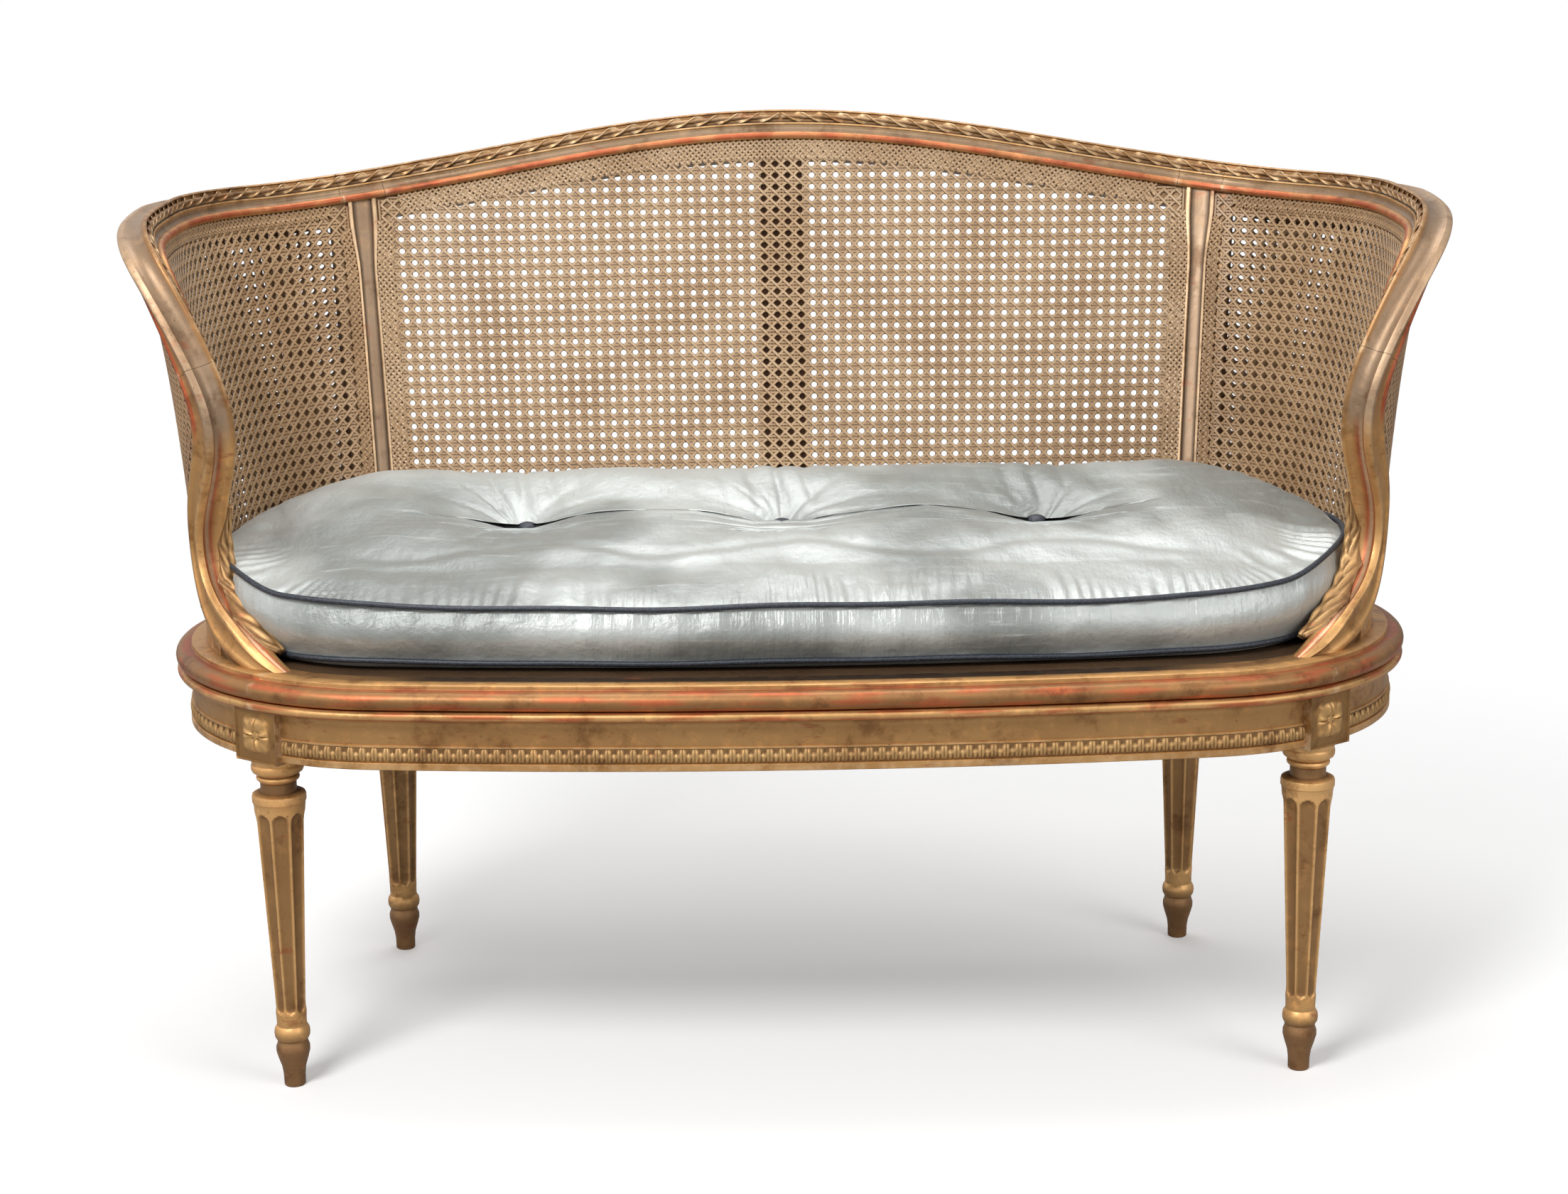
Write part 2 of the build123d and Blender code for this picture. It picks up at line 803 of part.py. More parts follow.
def stile_side(z, way):
    """Plan parameter of the cane's edge beside the stile."""
    head = max(0, z - (head_under - 2 * stile_head_flare)) / (2 * stile_head_flare)
    width = stile_width / 2 + stile_head_flare / 2 * min(head, 1) + cane_margin
    return stile_phi + way * width / along(stile_phi, z).length


def cane_point(phi, z, offset):
    return basket(phi, z) + inward(phi, z) * offset


def back_cane_rows(offset):
    rows = []
    for v in stations(0, 1, 12):
        row = []
        for u in stations(-1, 1, 33):
            phi = u * stile_phi
            for _ in range(4):
                z = cane_low + v * (between(top_edge, abs(phi), 0) - cane_low)
                phi = u * stile_side(z, -1)
            row.append(cane_point(phi, z, offset))
        rows.append(row)
    return rows


def side_cane_rows(offset):
    rows = []
    for z in stations(side_cane_low, arm_height + frame_half_height / 2, 14):
        start = stile_side(z, 1)
        rows.append([cane_point(phi, z, offset) for phi in stations(start, side_cane_end, 20)])
    return rows


def room_section(s):
    """Section of the room that the moulded arm takes from a cane sheet."""
    with BuildSketch(frame_plane(s)) as section:
        with Locations((0, -frame_inner)):
            size = (2 * cane_room_side, frame_inner + cane_room_above)
            Rectangle(*size, align=(Align.CENTER, Align.MIN))
    return section.sketch


inner_face = tongue_half_thickness + cane_gap


def cane_sheet(rows, offset):
    """Thin closed sheet between two like surfaces, one a cane's thickness further in."""
    skins = [Face.make_surface_from_array_of_points(rows(o)) for o in (offset, offset + cane_thickness)]
    outer = skins[0].outer_wire().edges()
    inner = skins[1].outer_wire().edges()
    rims = []
    for edge in outer:
        match = min(inner, key=lambda other: (other @ 0.5 - edge @ 0.5).length)
        rims.append(Face.make_surface_from_curves(edge, match))
    add(Solid(Shell(skins + rims)))


with BuildPart() as back_cane:
    cane_sheet(back_cane_rows, inner_face)

with BuildPart() as arm_room:
    loft([room_section(s) for s in stations(head_start, path_end, 40)])


def side_cane(offset):
    """Side sheet up to the moulded arm, without the piece beyond it."""
    with BuildPart() as sheet:
        cane_sheet(side_cane_rows, offset)
        for wood in (arm_room, right_arm_rail, right_back_stile):
            add(wood.part, mode=Mode.SUBTRACT)
    return sheet.part.solids().sort_by(SortBy.VOLUME)[-1]


with BuildPart() as right_inner_cane:
    add(side_cane(inner_face))

with BuildPart() as right_outer_cane:
    add(side_cane(-inner_face - cane_thickness))


def oval_line(inset):
    """Closed outline parallel to the seat's flat face, drawn inside it by an inset."""
    r = end_radius - inset
    right = (end_center_x, oval_y)
    left = (-end_center_x, oval_y)
    with BuildLine() as outline:
        CenterArc((0, front_center_y), front_radius - inset, -90 - front_half_angle, 2 * front_half_angle)
        CenterArc(right, r, front_turn, -front_turn)
        CenterArc(right, r, 0, 90)
        Line((end_center_x, oval_y + r), (-end_center_x, oval_y + r))
        CenterArc(left, r, 90, 90)
        CenterArc(left, r, 180, -front_turn)
    return outline


def oval_face(z, inset):
    with BuildSketch(Plane.XY.offset(z)) as face:
        make_face(oval_line(inset).edges())
    return face.sketch


with BuildPart() as seat_cane:
    seat_cane_bottom = seat_top - seat_rebate_depth + seat_cane_gap
    extrude(oval_face(seat_cane_bottom, rail_depth - seat_cane_lap), amount=cane_thickness)

# Cushion: insets from the seat's flat face, and heights, from the bottom to the crown
cushion_inset = end_radius - cushion_radius
cushion_bottom = seat_top + cushion_seat_gap
crown = cushion_top - cushion_band_top
cushion_sides = [
    (cushion_bottom, cushion_inset + bottom_draw),
    (cushion_band_bottom, cushion_inset),
    ((cushion_band_bottom + cushion_band_top) / 2, cushion_inset + side_draw),
    (cushion_band_top, cushion_inset),
]
cushion_crown = [
    (cushion_band_top + height * crown, cushion_inset + inset)
    for height, inset in ((0, 0), (0.40, 22), (0.72, 58), (0.93, 104), (1, 146))
]
tuft_floor = cushion_top - tuft_depth
tuft_places = [(i * tuft_spacing, oval_y + tuft_shift) for i in (-1, 0, 1)]


def piping_tube(z, radius):
    """Round cord along the cushion's edge."""
    path = oval_line(cushion_inset - piping_diameter / 2 - piping_clearance).wire().moved(Location((0, 0, z)))
    with BuildSketch(Plane(origin=path @ 0, z_dir=path % 0)) as face:
        Circle(radius)
    return face.sketch, path


with BuildPart() as seat_cushion:
    loft([oval_face(z, inset) for z, inset in cushion_sides], ruled=True)
    loft([oval_face(z, inset) for z, inset in cushion_crown])
    for x, y in tuft_places:
        place = Plane(origin=(x, y, 0), x_dir=(1, 0, 0), z_dir=(0, -1, 0))
        floor = button_diameter / 2 + piping_clearance
        with BuildSketch(place) as dimple:
            with BuildLine():
                Line((0, tuft_floor), (floor, tuft_floor))
                ThreePointArc(
                    (floor, tuft_floor),
                    (0.42 * tuft_radius, tuft_floor + 0.62 * tuft_depth),
                    (tuft_radius, cushion_top + 1),
                )
                Polyline((tuft_radius, cushion_top + 1), (0, cushion_top + 1), (0, tuft_floor))
            make_face()
        revolve(dimple.sketch, Axis((x, y, 0), (0, 0, 1)), mode=Mode.SUBTRACT)

with BuildPart() as top_piping:
    cord, path = piping_tube(cushion_band_top, piping_diameter / 2)
    sweep(cord, path=path)

with BuildPart() as bottom_piping:
    cord, path = piping_tube(cushion_band_bottom, piping_diameter / 2)
    sweep(cord, path=path)

with BuildPart() as tuft_buttons:
    for x, y in tuft_places:
        with BuildSketch(Plane.XY.offset(tuft_floor)):
            with Locations((x, y)):
                Circle(button_diameter / 2)
        extrude(amount=button_height)
    fillet(tuft_buttons.edges().group_by(Axis.Z)[-1], button_height * 0.6)

pairs = {
    "back_stile": right_back_stile,
    "arm_rail": right_arm_rail,
    "arm_support": right_arm_support,
    "bottom_rail": right_bottom_rail,
    "inner_cane": right_inner_cane,
    "outer_cane": right_outer_cane,
    "seat_rail": right_seat_rail,
}
singles = {
    "front_seat_rail": front_seat_rail,
    "back_seat_rail": back_seat_rail,
    "seat_cross_brace": seat_cross_brace,
    "seat_frame_pegs": seat_frame_pegs,
    "crest_rail": crest_rail,
    "back_bottom_rail": back_bottom_rail,
    "center_back_post": center_back_post,
    "crest_dowels": crest_dowels,
    "arm_dowels": arm_dowels,
    "back_cane": back_cane,
    "seat_cane": seat_cane,
    "seat_cushion": seat_cushion,
    "top_piping": top_piping,
    "bottom_piping": bottom_piping,
    "tuft_buttons": tuft_buttons,
}
for name, right in pairs.items():
    right.part.label = f"right_{name}"
    export_step(right.part, f"parts/right_{name}.step")
    with BuildPart() as left:
        mirror(right.part, about=Plane.YZ)
    left.part.label = f"left_{name}"
    export_step(left.part, f"parts/left_{name}.step")

for name, piece in singles.items():
    piece.part.label = name
    export_step(piece.part, f"parts/{name}.step")
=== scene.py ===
# %% [markdown]
# # A giltwood settee with a caned basket back
#
# This file dresses a imported CAD model. The solids give every place and size; the cells below work out
# finer surfaces with numpy, in millimetres, and hand them to Blender in metres. First the frame is loaded.

# %% Load the frame
import math

import bmesh
import bpy
import numpy as np
from mathutils import Matrix, Vector


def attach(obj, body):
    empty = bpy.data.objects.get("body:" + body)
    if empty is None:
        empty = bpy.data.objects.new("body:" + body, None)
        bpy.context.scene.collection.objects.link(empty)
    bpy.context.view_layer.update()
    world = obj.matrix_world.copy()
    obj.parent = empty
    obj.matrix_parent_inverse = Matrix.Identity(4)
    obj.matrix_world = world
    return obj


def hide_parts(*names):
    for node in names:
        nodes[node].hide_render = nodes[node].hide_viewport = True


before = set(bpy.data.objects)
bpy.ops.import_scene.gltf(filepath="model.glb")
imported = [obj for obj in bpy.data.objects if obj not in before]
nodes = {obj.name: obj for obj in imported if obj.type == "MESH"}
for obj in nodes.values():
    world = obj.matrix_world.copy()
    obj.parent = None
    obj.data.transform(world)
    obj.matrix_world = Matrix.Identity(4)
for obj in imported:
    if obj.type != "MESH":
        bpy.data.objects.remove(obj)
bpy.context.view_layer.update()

# %% [markdown]
# ## The basket
#
# The cane, the arms and the back all lie on one flared sheet, as in a woven basket. A place on it is
# given by phi, which runs 0 to 1 along the straight back, 1 to 2 round the corner and 2 to 3 along the
# side, and by the height z. The plan on the seat and the plan at arm height are joined by a flare, so
# the sheet could also be lofted by hand, but a formula lets every strand of cane find its own place.

# %% Sizes shared with the solids
# heights of seat and arms, rise of the crest, and the place on the line where the crest ends
SEAT, ARM, RISE, SPAN = 422.0, 828.0, 66.0, 1.55
# the seat's oval: centre and radius of the round ends, radius of the bowed front
END_X, END_R, FRONT_R, OVAL_Y = 372.0, 234.0, 3600.0, -61.756
# the basket's plan on the seat and at arm height
FOOT_R, FOOT_SWEEP, TOP_X, TOP_R = 208.0, 60.0, 395.0, 237.0
SETBACK, BOW, REACH, TOE_IN, FLARE = 98.0, 12.0, 190.0, 10.0, 0.35
# half the width and height of the moulded frame, and half the thickness of its tongue
HALF_W, HALF_H, TONGUE = 18.0, 17.0, 9.0
# turning angles of the legs about the round ends, and their distance from the centre
FRONT_LEG, REAR_LEG, LEG_R = -54.3, 73.3, 215.0
SIDES = ((1, "right"), (-1, "left"))
UP = np.array([0.0, 0.0, 1.0])
front_drop = math.sqrt((FRONT_R - END_R) ** 2 - END_X**2)
FRONT_Y = OVAL_Y + front_drop
FRONT_HALF = math.degrees(math.asin(END_X / (FRONT_R - END_R)))
print("front arc centre", round(FRONT_Y, 1), "half angle", round(FRONT_HALF, 3))

# %% The basket as a function
PHI_STEP, Z_STEP = 1e-4, 0.05


def ease(t):
    """Zero before 0, one after 1, and a smooth cubic step between."""
    t = np.clip(t, 0.0, 1.0)
    return t * t * (3 - 2 * t)


def unit(v):
    """Vectors divided by their lengths."""
    return v / np.linalg.norm(v, axis=-1, keepdims=True)


def half_plan(p, center_x, center_y, radius, bow):
    """Straight back with a bow of half a cosine wave, then a quarter circle."""
    turn = np.radians(90 * (2 - p))
    back = np.stack([center_x * p, center_y + radius + bow * (1 + np.cos(np.pi * p)) / 2], -1)
    corner = np.stack([center_x + radius * np.cos(turn), center_y + radius * np.sin(turn)], -1)
    return np.where((p <= 1)[..., None], back, corner)


def basket(phi, z):
    """Foot plan plus (top plan minus foot plan) times g, where g grows evenly with height on the
    back and faster towards the top on the sides."""
    phi, z = np.broadcast_arrays(np.asarray(phi, float), np.asarray(z, float))
    p = np.abs(phi)
    u = np.maximum(p - 2, 0)
    sweep = np.radians(FOOT_SWEEP * u)
    foot_side = np.stack([END_X + FOOT_R * np.cos(sweep), OVAL_Y - FOOT_R * np.sin(sweep)], -1)
    top_side = np.stack([TOP_X + TOP_R - TOE_IN * u * u, OVAL_Y + SETBACK - REACH * u], -1)
    beyond = (p > 2)[..., None]
    foot = np.where(beyond, foot_side, half_plan(p, END_X, OVAL_Y, FOOT_R, 0.0))
    top = np.where(beyond, top_side, half_plan(p, TOP_X, OVAL_Y + SETBACK, TOP_R, BOW))
    t = (z - SEAT) / (ARM - SEAT)
    k = ease(p - 1)
    g = (1 - k) * t + k * (FLARE * t + (1 - FLARE) * t * np.abs(t))
    xy = foot + (top - foot) * g[..., None]
    return np.stack([np.where(phi < 0, -1, 1) * xy[..., 0], xy[..., 1], z], -1)


def along_plan(phi, z):
    """Change of the basket with phi: the difference of two near places over their distance in phi."""
    return (basket(phi + PHI_STEP, z) - basket(phi - PHI_STEP, z)) / (2 * PHI_STEP)


def along_height(phi, z):
    """Change of the basket with height, taken in the same way."""
    return (basket(phi, z + Z_STEP) - basket(phi, z - Z_STEP)) / (2 * Z_STEP)


def inward(phi, z):
    """Unit normal towards the sitter: the change with phi crossed with the change with height."""
    return unit(np.cross(along_plan(phi, z), along_height(phi, z)))


def on_basket(phi, z, offset):
    """Point at an offset from the basket towards the sitter, and the normal there."""
    normal = inward(phi, z)
    return basket(phi, z) + normal * offset, normal


print("crest middle", basket(0.0, ARM + RISE).round(1))

# %% [markdown]
# ## The line of the moulded frame
#
# Crest, arms and arm supports follow one line on the basket. The crest is a squared cosine hump, and
# the arm is an even cubic B-spline near a few places, which gives the S of the support; its last
# place lies inside the seat rail, so that the toe sinks into the rail.

# %% Centre line and the axes across it
ARM_STEP = 0.3
# places as phi and the depth below the arm's height, then as phi and the height over the seat
arm_above = [(1.55, 0), (1.85, 0), (2.15, 0.5), (2.45, 2), (2.76, 5), (2.99, 20), (3.0, 66), (2.99, 116)]
arm_below = [(2.95, 238), (2.74, 186), (2.48, 138), (2.40, 90), (2.49, 48), (2.72, 20), (2.95, -2)]
arm_below.append((3.18, -24))
arm_line = np.array([(p, ARM - d) for p, d in arm_above] + [(p, SEAT + h) for p, h in arm_below])
PATH_END = SPAN + ARM_STEP * (len(arm_line) - 2)
ARM_JOINT = SPAN + 7.1 * ARM_STEP
STILE = 1 + (90 - REAR_LEG) / 90
HEAD_HALF, HEAD_Z = 25.0, 830.0


def frame_line(s):
    """phi and height at a place s: the hump up to SPAN, then the B-spline, mirrored for s below 0."""
    s = np.asarray(s, float)
    a = np.abs(s)
    t = np.clip((a - SPAN) / ARM_STEP, 0, len(arm_line) - 1)
    i = np.clip(t.astype(int), 0, len(arm_line) - 2)
    f = (t - i)[..., None]
    padded = np.vstack([2 * arm_line[0] - arm_line[1], arm_line, 2 * arm_line[-1] - arm_line[-2]])
    weights = ((1 - f) ** 3, 3 * f**3 - 6 * f**2 + 4, -3 * f**3 + 3 * f**2 + 3 * f + 1, f**3)
    bent = sum(w * padded[i + j] for j, w in enumerate(weights)) / 6
    hump = ARM + RISE * np.cos(np.pi / 2 * np.minimum(a / SPAN, 1)) ** 2
    on_crest = a <= SPAN
    phi = np.where(on_crest, a, bent[..., 0]) * np.where(s < 0, -1, 1)
    return phi, np.where(on_crest, hump, bent[..., 1])


def frame_axes(s):
    """Point, inward axis and the axis away from the cane at each place on the line."""
    step = 1e-3
    point = basket(*frame_line(s))
    ahead = unit(basket(*frame_line(s + step)) - basket(*frame_line(s - step)))
    x = inward(*frame_line(s))
    x = unit(x - ahead * np.sum(x * ahead, -1, keepdims=True))
    return point, x, np.cross(-ahead, x)


def arc_length(points):
    """Length along a row of points: 0, then the running sum of the distances between neighbours."""
    return np.concatenate([[0], np.cumsum(np.linalg.norm(np.diff(points, axis=0), axis=1))])


def even_stations(start, end, spacing):
    """Places from start to end about spacing millimetres apart on the line, and their lengths along it."""
    fine = np.linspace(start, end, 800)
    length = arc_length(basket(*frame_line(fine)))
    count = max(3, int(round(length[-1] / spacing)) + 1)
    even = np.linspace(0, length[-1], count)
    return np.interp(even, length, fine), even


head_speed = np.linalg.norm(along_plan(STILE, HEAD_Z))
HEAD_START, HEAD_END = STILE - HEAD_HALF / head_speed, STILE + HEAD_HALF / head_speed
print("stile at phi", round(STILE, 4), "path end", round(PATH_END, 2))

# %% [markdown]
# ## Putting grids into meshes
#
# A surface here is a grid of points. One helper joins neighbours with quads, closes the grid round one
# or both ways, and another fills the two ends, so each piece is a closed shell. A second array gives
# each point a tint, which the gilding reads: gold, red clay, grey or chalk, and also dark tones that
# are painted shade.


# %% Mesh helpers
def grid_faces(rows, columns, around_rows=False, around_columns=True):
    """Quads between neighbouring points of a grid, wrapped where asked."""
    r = np.arange(rows if around_rows else rows - 1)[:, None]
    c = np.arange(columns if around_columns else columns - 1)[None, :]
    r2, c2 = (r + 1) % rows, (c + 1) % columns
    quads = np.stack([r * columns + c, r * columns + c2, r2 * columns + c2, r2 * columns + c], -1)
    return quads.reshape(-1, 4).tolist()


def closed_run(grid):
    """Faces of a closed profile carried along a path, with both ends filled."""
    rows, columns = grid.shape[:2]
    first, last = list(range(columns))[::-1], list(range((rows - 1) * columns, rows * columns))
    return grid_faces(rows, columns) + [first, last]


def write_tint(mesh, tint, domain):
    """Colour attribute named tint, with one row of red, green and blue per point or face corner."""
    colour = np.ones((len(tint), 4), np.float32)
    colour[:, :3] = tint
    layer = mesh.attributes.new("tint", "FLOAT_COLOR", domain)
    layer.data.foreach_set("color", colour.ravel())


def piece(name, points, faces, material, body="frame", tint=None, smooth=True):
    """New object at the origin from points in millimetres and faces, turned so that they face out."""
    mesh = bpy.data.meshes.new(name)
    mesh.from_pydata((np.asarray(points).reshape(-1, 3) * 0.001).tolist(), [], faces)
    if tint is not None:
        write_tint(mesh, np.asarray(tint).reshape(-1, 3), "POINT")
    shell = bmesh.new()
    shell.from_mesh(mesh)
    bmesh.ops.recalc_face_normals(shell, faces=shell.faces)
    shell.to_mesh(mesh)
    shell.free()
    mesh.polygons.foreach_set("use_smooth", [smooth] * len(mesh.polygons))
    mesh.materials.append(material)
    made = bpy.data.objects.new(name, mesh)
    bpy.context.scene.collection.objects.link(made)
    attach(made, body)
    return made


def sharpen(made, degrees=38.0):
    """Edges bent by more than an angle stay crisp."""
    made.data.set_sharp_from_angle(angle=math.radians(degrees))


def mirrored(points):
    """The same points with x reversed."""
    return np.asarray(points) * np.array([-1.0, 1.0, 1.0])


def on_side(points, side):
    """Points of the right side as they are, or mirrored for the left."""
    return points if side > 0 else mirrored(points)


print("mesh helpers ready")

# %% [markdown]
# ## Finishes
#
# Water gilding is gold leaf over red clay over chalk. Two centuries of dusting rub it through: clay
# shows on the rounds, chalk on the sharpest edges, and dirt stays in the hollows. A few masks of noise
# do this for every gilt piece; where a piece carries the tint of its mouldings the material reads
# that, and otherwise it takes one plain colour. A painted picture would need unwrapping and would not
# hold up close, so everything is worked out from the place on the piece.

# %% Node helpers
GOLD, OCHRE, RED = (0.54, 0.295, 0.105), (0.58, 0.33, 0.125), (0.44, 0.105, 0.036)
# in the next line the tan is darkened as painted shade, seen between the strands at the cane's edges
GREY, CHALK, SHADED_TAN = (0.34, 0.235, 0.15), (0.62, 0.45, 0.27), (0.22, 0.125, 0.058)
DARK, UMBER = (0.045, 0.026, 0.014), (0.33, 0.175, 0.066)
WARM, WORN = (0.46, 0.25, 0.105), (0.44, 0.30, 0.19)


def feed(tree, target, inputs):
    """Links each input that is a socket and sets each that is a plain value."""
    for key, value in inputs.items():
        if isinstance(value, bpy.types.NodeSocket):
            tree.links.new(value, target.inputs[key])
        else:
            target.inputs[key].default_value = value


def node(tree, kind, inputs=None, **settings):
    """New shader node of a kind, with its settings and inputs."""
    made = tree.nodes.new("ShaderNode" + kind)
    for key, value in settings.items():
        setattr(made, key, value)
    feed(tree, made, inputs or {})
    return made


class Finish:
    """A material in the making: its nodes, its shader and the place on the piece."""

    def __init__(self, name):
        self.material = bpy.data.materials.new(name)
        self.material.use_nodes = True
        self.tree = self.material.node_tree
        self.shader = self.tree.nodes["Principled BSDF"]
        self.place = self.node("TexCoord").outputs["Object"]

    def node(self, kind, inputs=None, **settings):
        """New node in this material."""
        return node(self.tree, kind, inputs, **settings)

    def tint(self):
        """Colour that the mesh carries."""
        return self.node("Attribute", attribute_name="tint").outputs["Color"]

    def noise(self, scale, detail=4.0, roughness=0.55, stretch=None):
        """Fractal noise on the piece, stretched along the axes where asked."""
        source = self.place
        if stretch is not None:
            source = self.node("Mapping", {"Vector": source, "Scale": stretch}).outputs[0]
        inputs = {"Vector": source, "Scale": scale, "Detail": detail, "Roughness": roughness}
        return self.node("TexNoise", inputs).outputs["Fac"]

    def band(self, value, low, high):
        """Zero below low, one above high, smooth between."""
        inputs = {"Value": value, "From Min": low, "From Max": high}
        return self.node("MapRange", inputs, interpolation_type="SMOOTHSTEP").outputs[0]

    def ramp(self, value, low, high, start=0.0, end=1.0):
        """Straight change from start to end while the value goes from low to high."""
        inputs = {"Value": value, "From Min": low, "From Max": high, "To Min": start, "To Max": end}
        return self.node("MapRange", inputs).outputs[0]

    def times(self, a, b):
        """Product of two values."""
        return self.node("Math", {0: a, 1: b}, operation="MULTIPLY").outputs[0]

    def mix(self, share, a, b, blend="MIX"):
        """Colour a, with b mixed or multiplied in by a share; either may be a socket or three numbers."""
        a, b = (v if isinstance(v, bpy.types.NodeSocket) else (*v, 1.0) for v in (a, b))
        return self.node("Mix", {0: share, 6: a, 7: b}, data_type="RGBA", blend_type=blend).outputs[2]

    def dress(self, shade, inputs, bumps):
        """Base colour, other inputs, and bumps as height, strength and depth, laid over each other."""
        feed(self.tree, self.shader, {"Base Color": shade, **inputs})
        normal = {}
        for height, strength, depth in bumps:
            bump = self.node("Bump", {"Height": height, "Strength": strength, "Distance": depth, **normal})
            normal = {"Normal": bump.outputs[0]}
        feed(self.tree, self.shader, normal)
        return self.material


print("node helpers ready")


# %% Gilding
def gilding(name, plain=None):
    """Base tint times broad and fine noise, with stains, clay and chalk in patches, and dirty hollows."""
    leaf = Finish(name)
    base = plain or leaf.tint()
    broad, fine = leaf.noise(9.0, 5.0), leaf.noise(70.0, 6.0, 0.65)
    speck, stain = leaf.noise(260.0, 3.0, 0.6), leaf.noise(28.0, 7.0, 0.7)
    rubs = leaf.noise(55.0, 6.0, 0.7, (0.3, 1.0, 1.0))
    bent = leaf.node("NewGeometry").outputs["Pointiness"]
    edge = leaf.times(leaf.band(bent, 0.53, 0.60), leaf.band(fine, 0.40, 0.62))
    chips = leaf.times(leaf.band(speck, 0.66, 0.72), leaf.band(broad, 0.42, 0.58))
    shade = leaf.mix(leaf.band(broad, 0.35, 0.72), base, (0.80, 0.74, 0.68), "MULTIPLY")
    shade = leaf.mix(leaf.band(fine, 0.50, 0.72), shade, (1.30, 1.24, 1.16), "MULTIPLY")
    stained = leaf.times(leaf.band(stain, 0.50, 0.68), 0.8)
    shade = leaf.mix(stained, shade, (0.50, 0.40, 0.30), "MULTIPLY")
    shade = leaf.mix(leaf.times(leaf.band(rubs, 0.58, 0.68), 0.6), shade, (0.30, 0.075, 0.025))
    shade = leaf.mix(leaf.times(edge, 0.75), shade, CHALK)
    shade = leaf.mix(leaf.ramp(bent, 0.40, 0.49), (0.085, 0.045, 0.018), shade)
    shade = leaf.mix(leaf.times(chips, 0.8), shade, (0.10, 0.06, 0.035))
    rough = leaf.ramp(fine, 0.0, 1.0, 0.30, 0.58)
    return leaf.dress(shade, {"Metallic": 0.55, "Roughness": rough}, [(fine, 0.22, 0.002)])


gilt = gilding("gilt_mouldings")
gilt_plain = gilding("gilt_plain", GOLD)
gilt_shaded_tan = gilding("gilt_painted_shade_under_cane", SHADED_TAN)
print("gilding materials ready")

# %% [markdown]
# ## Cane, timber and cloth
#
# Split rattan is pale with dark streaks and a low waxy gloss. Darker copies of it are painted shade:
# on the squares of the back, on the sides and the outer layer, and near-black on the seat under the
# cushion. Bare timber has a grain along the settee. The cushion is a slubbed silk: thick weft threads,
# a patchy sheen painted into its colour, and fine puckers, which are too small to model and are bumps.
# The cords and the buttons are covered in a dark slate cloth.


# %% Cane and bare timber
def caning(name, pale, deep):
    """Pale mixed with deep in patches, streaked, and multiplied by the painted shade on the edges that its
    tint carries.
    """
    rattan = Finish(name)
    streak = rattan.noise(420.0, 4.0, 0.6)
    shade = rattan.mix(rattan.band(rattan.noise(14.0, 4.0), 0.35, 0.70), pale, deep)
    streaked = rattan.times(rattan.band(streak, 0.50, 0.72), 0.6)
    shade = rattan.mix(streaked, shade, (0.20, 0.10, 0.045))
    shade = rattan.mix(1.0, shade, rattan.tint(), "MULTIPLY")
    return rattan.dress(shade, {"Roughness": 0.42}, [(streak, 0.15, 0.0006)])


def bare_timber(name, pale, deep, rough):
    """Pale mixed with deep by a noise that is stretched along the settee."""
    wood = Finish(name)
    grain = wood.noise(60.0, 5.0, 0.6, (0.12, 1.0, 1.0))
    shade = wood.mix(wood.band(grain, 0.35, 0.65), pale, deep)
    return wood.dress(shade, {"Roughness": rough, "Specular IOR Level": 0.2}, [(grain, 0.2, 0.001)])


cane = caning("cane_strands", (0.58, 0.40, 0.235), (0.47, 0.30, 0.16))
# darker copies of the cane are painted shade: for the weave's squares, the sides and the outer layer
shaded_cane = caning("cane_painted_shaded", (0.48, 0.31, 0.165), (0.37, 0.225, 0.11))
# near-black copy of the cane: painted shadow for the seat under the cushion
painted_shadow_cane = caning("cane_in_painted_shadow", (0.075, 0.042, 0.02), (0.045, 0.025, 0.012))
outer_cane = caning("painted_shaded_outer_rattan", (0.46, 0.27, 0.125), (0.33, 0.18, 0.08))
sides_shaded_rattan = caning("painted_shaded_side_rattan", (0.44, 0.27, 0.135), (0.33, 0.19, 0.09))
timber = bare_timber("bare_timber", (0.30, 0.17, 0.08), (0.16, 0.085, 0.04), 0.6)
# near-black timber for the post behind the cane is painted shadow
post_timber_painted_shadow = bare_timber("timber_painted_as_shadow", (0.055, 0.024, 0.011), (0.03, 0.013, 0.006), 0.95)
print("cane and timber materials ready")


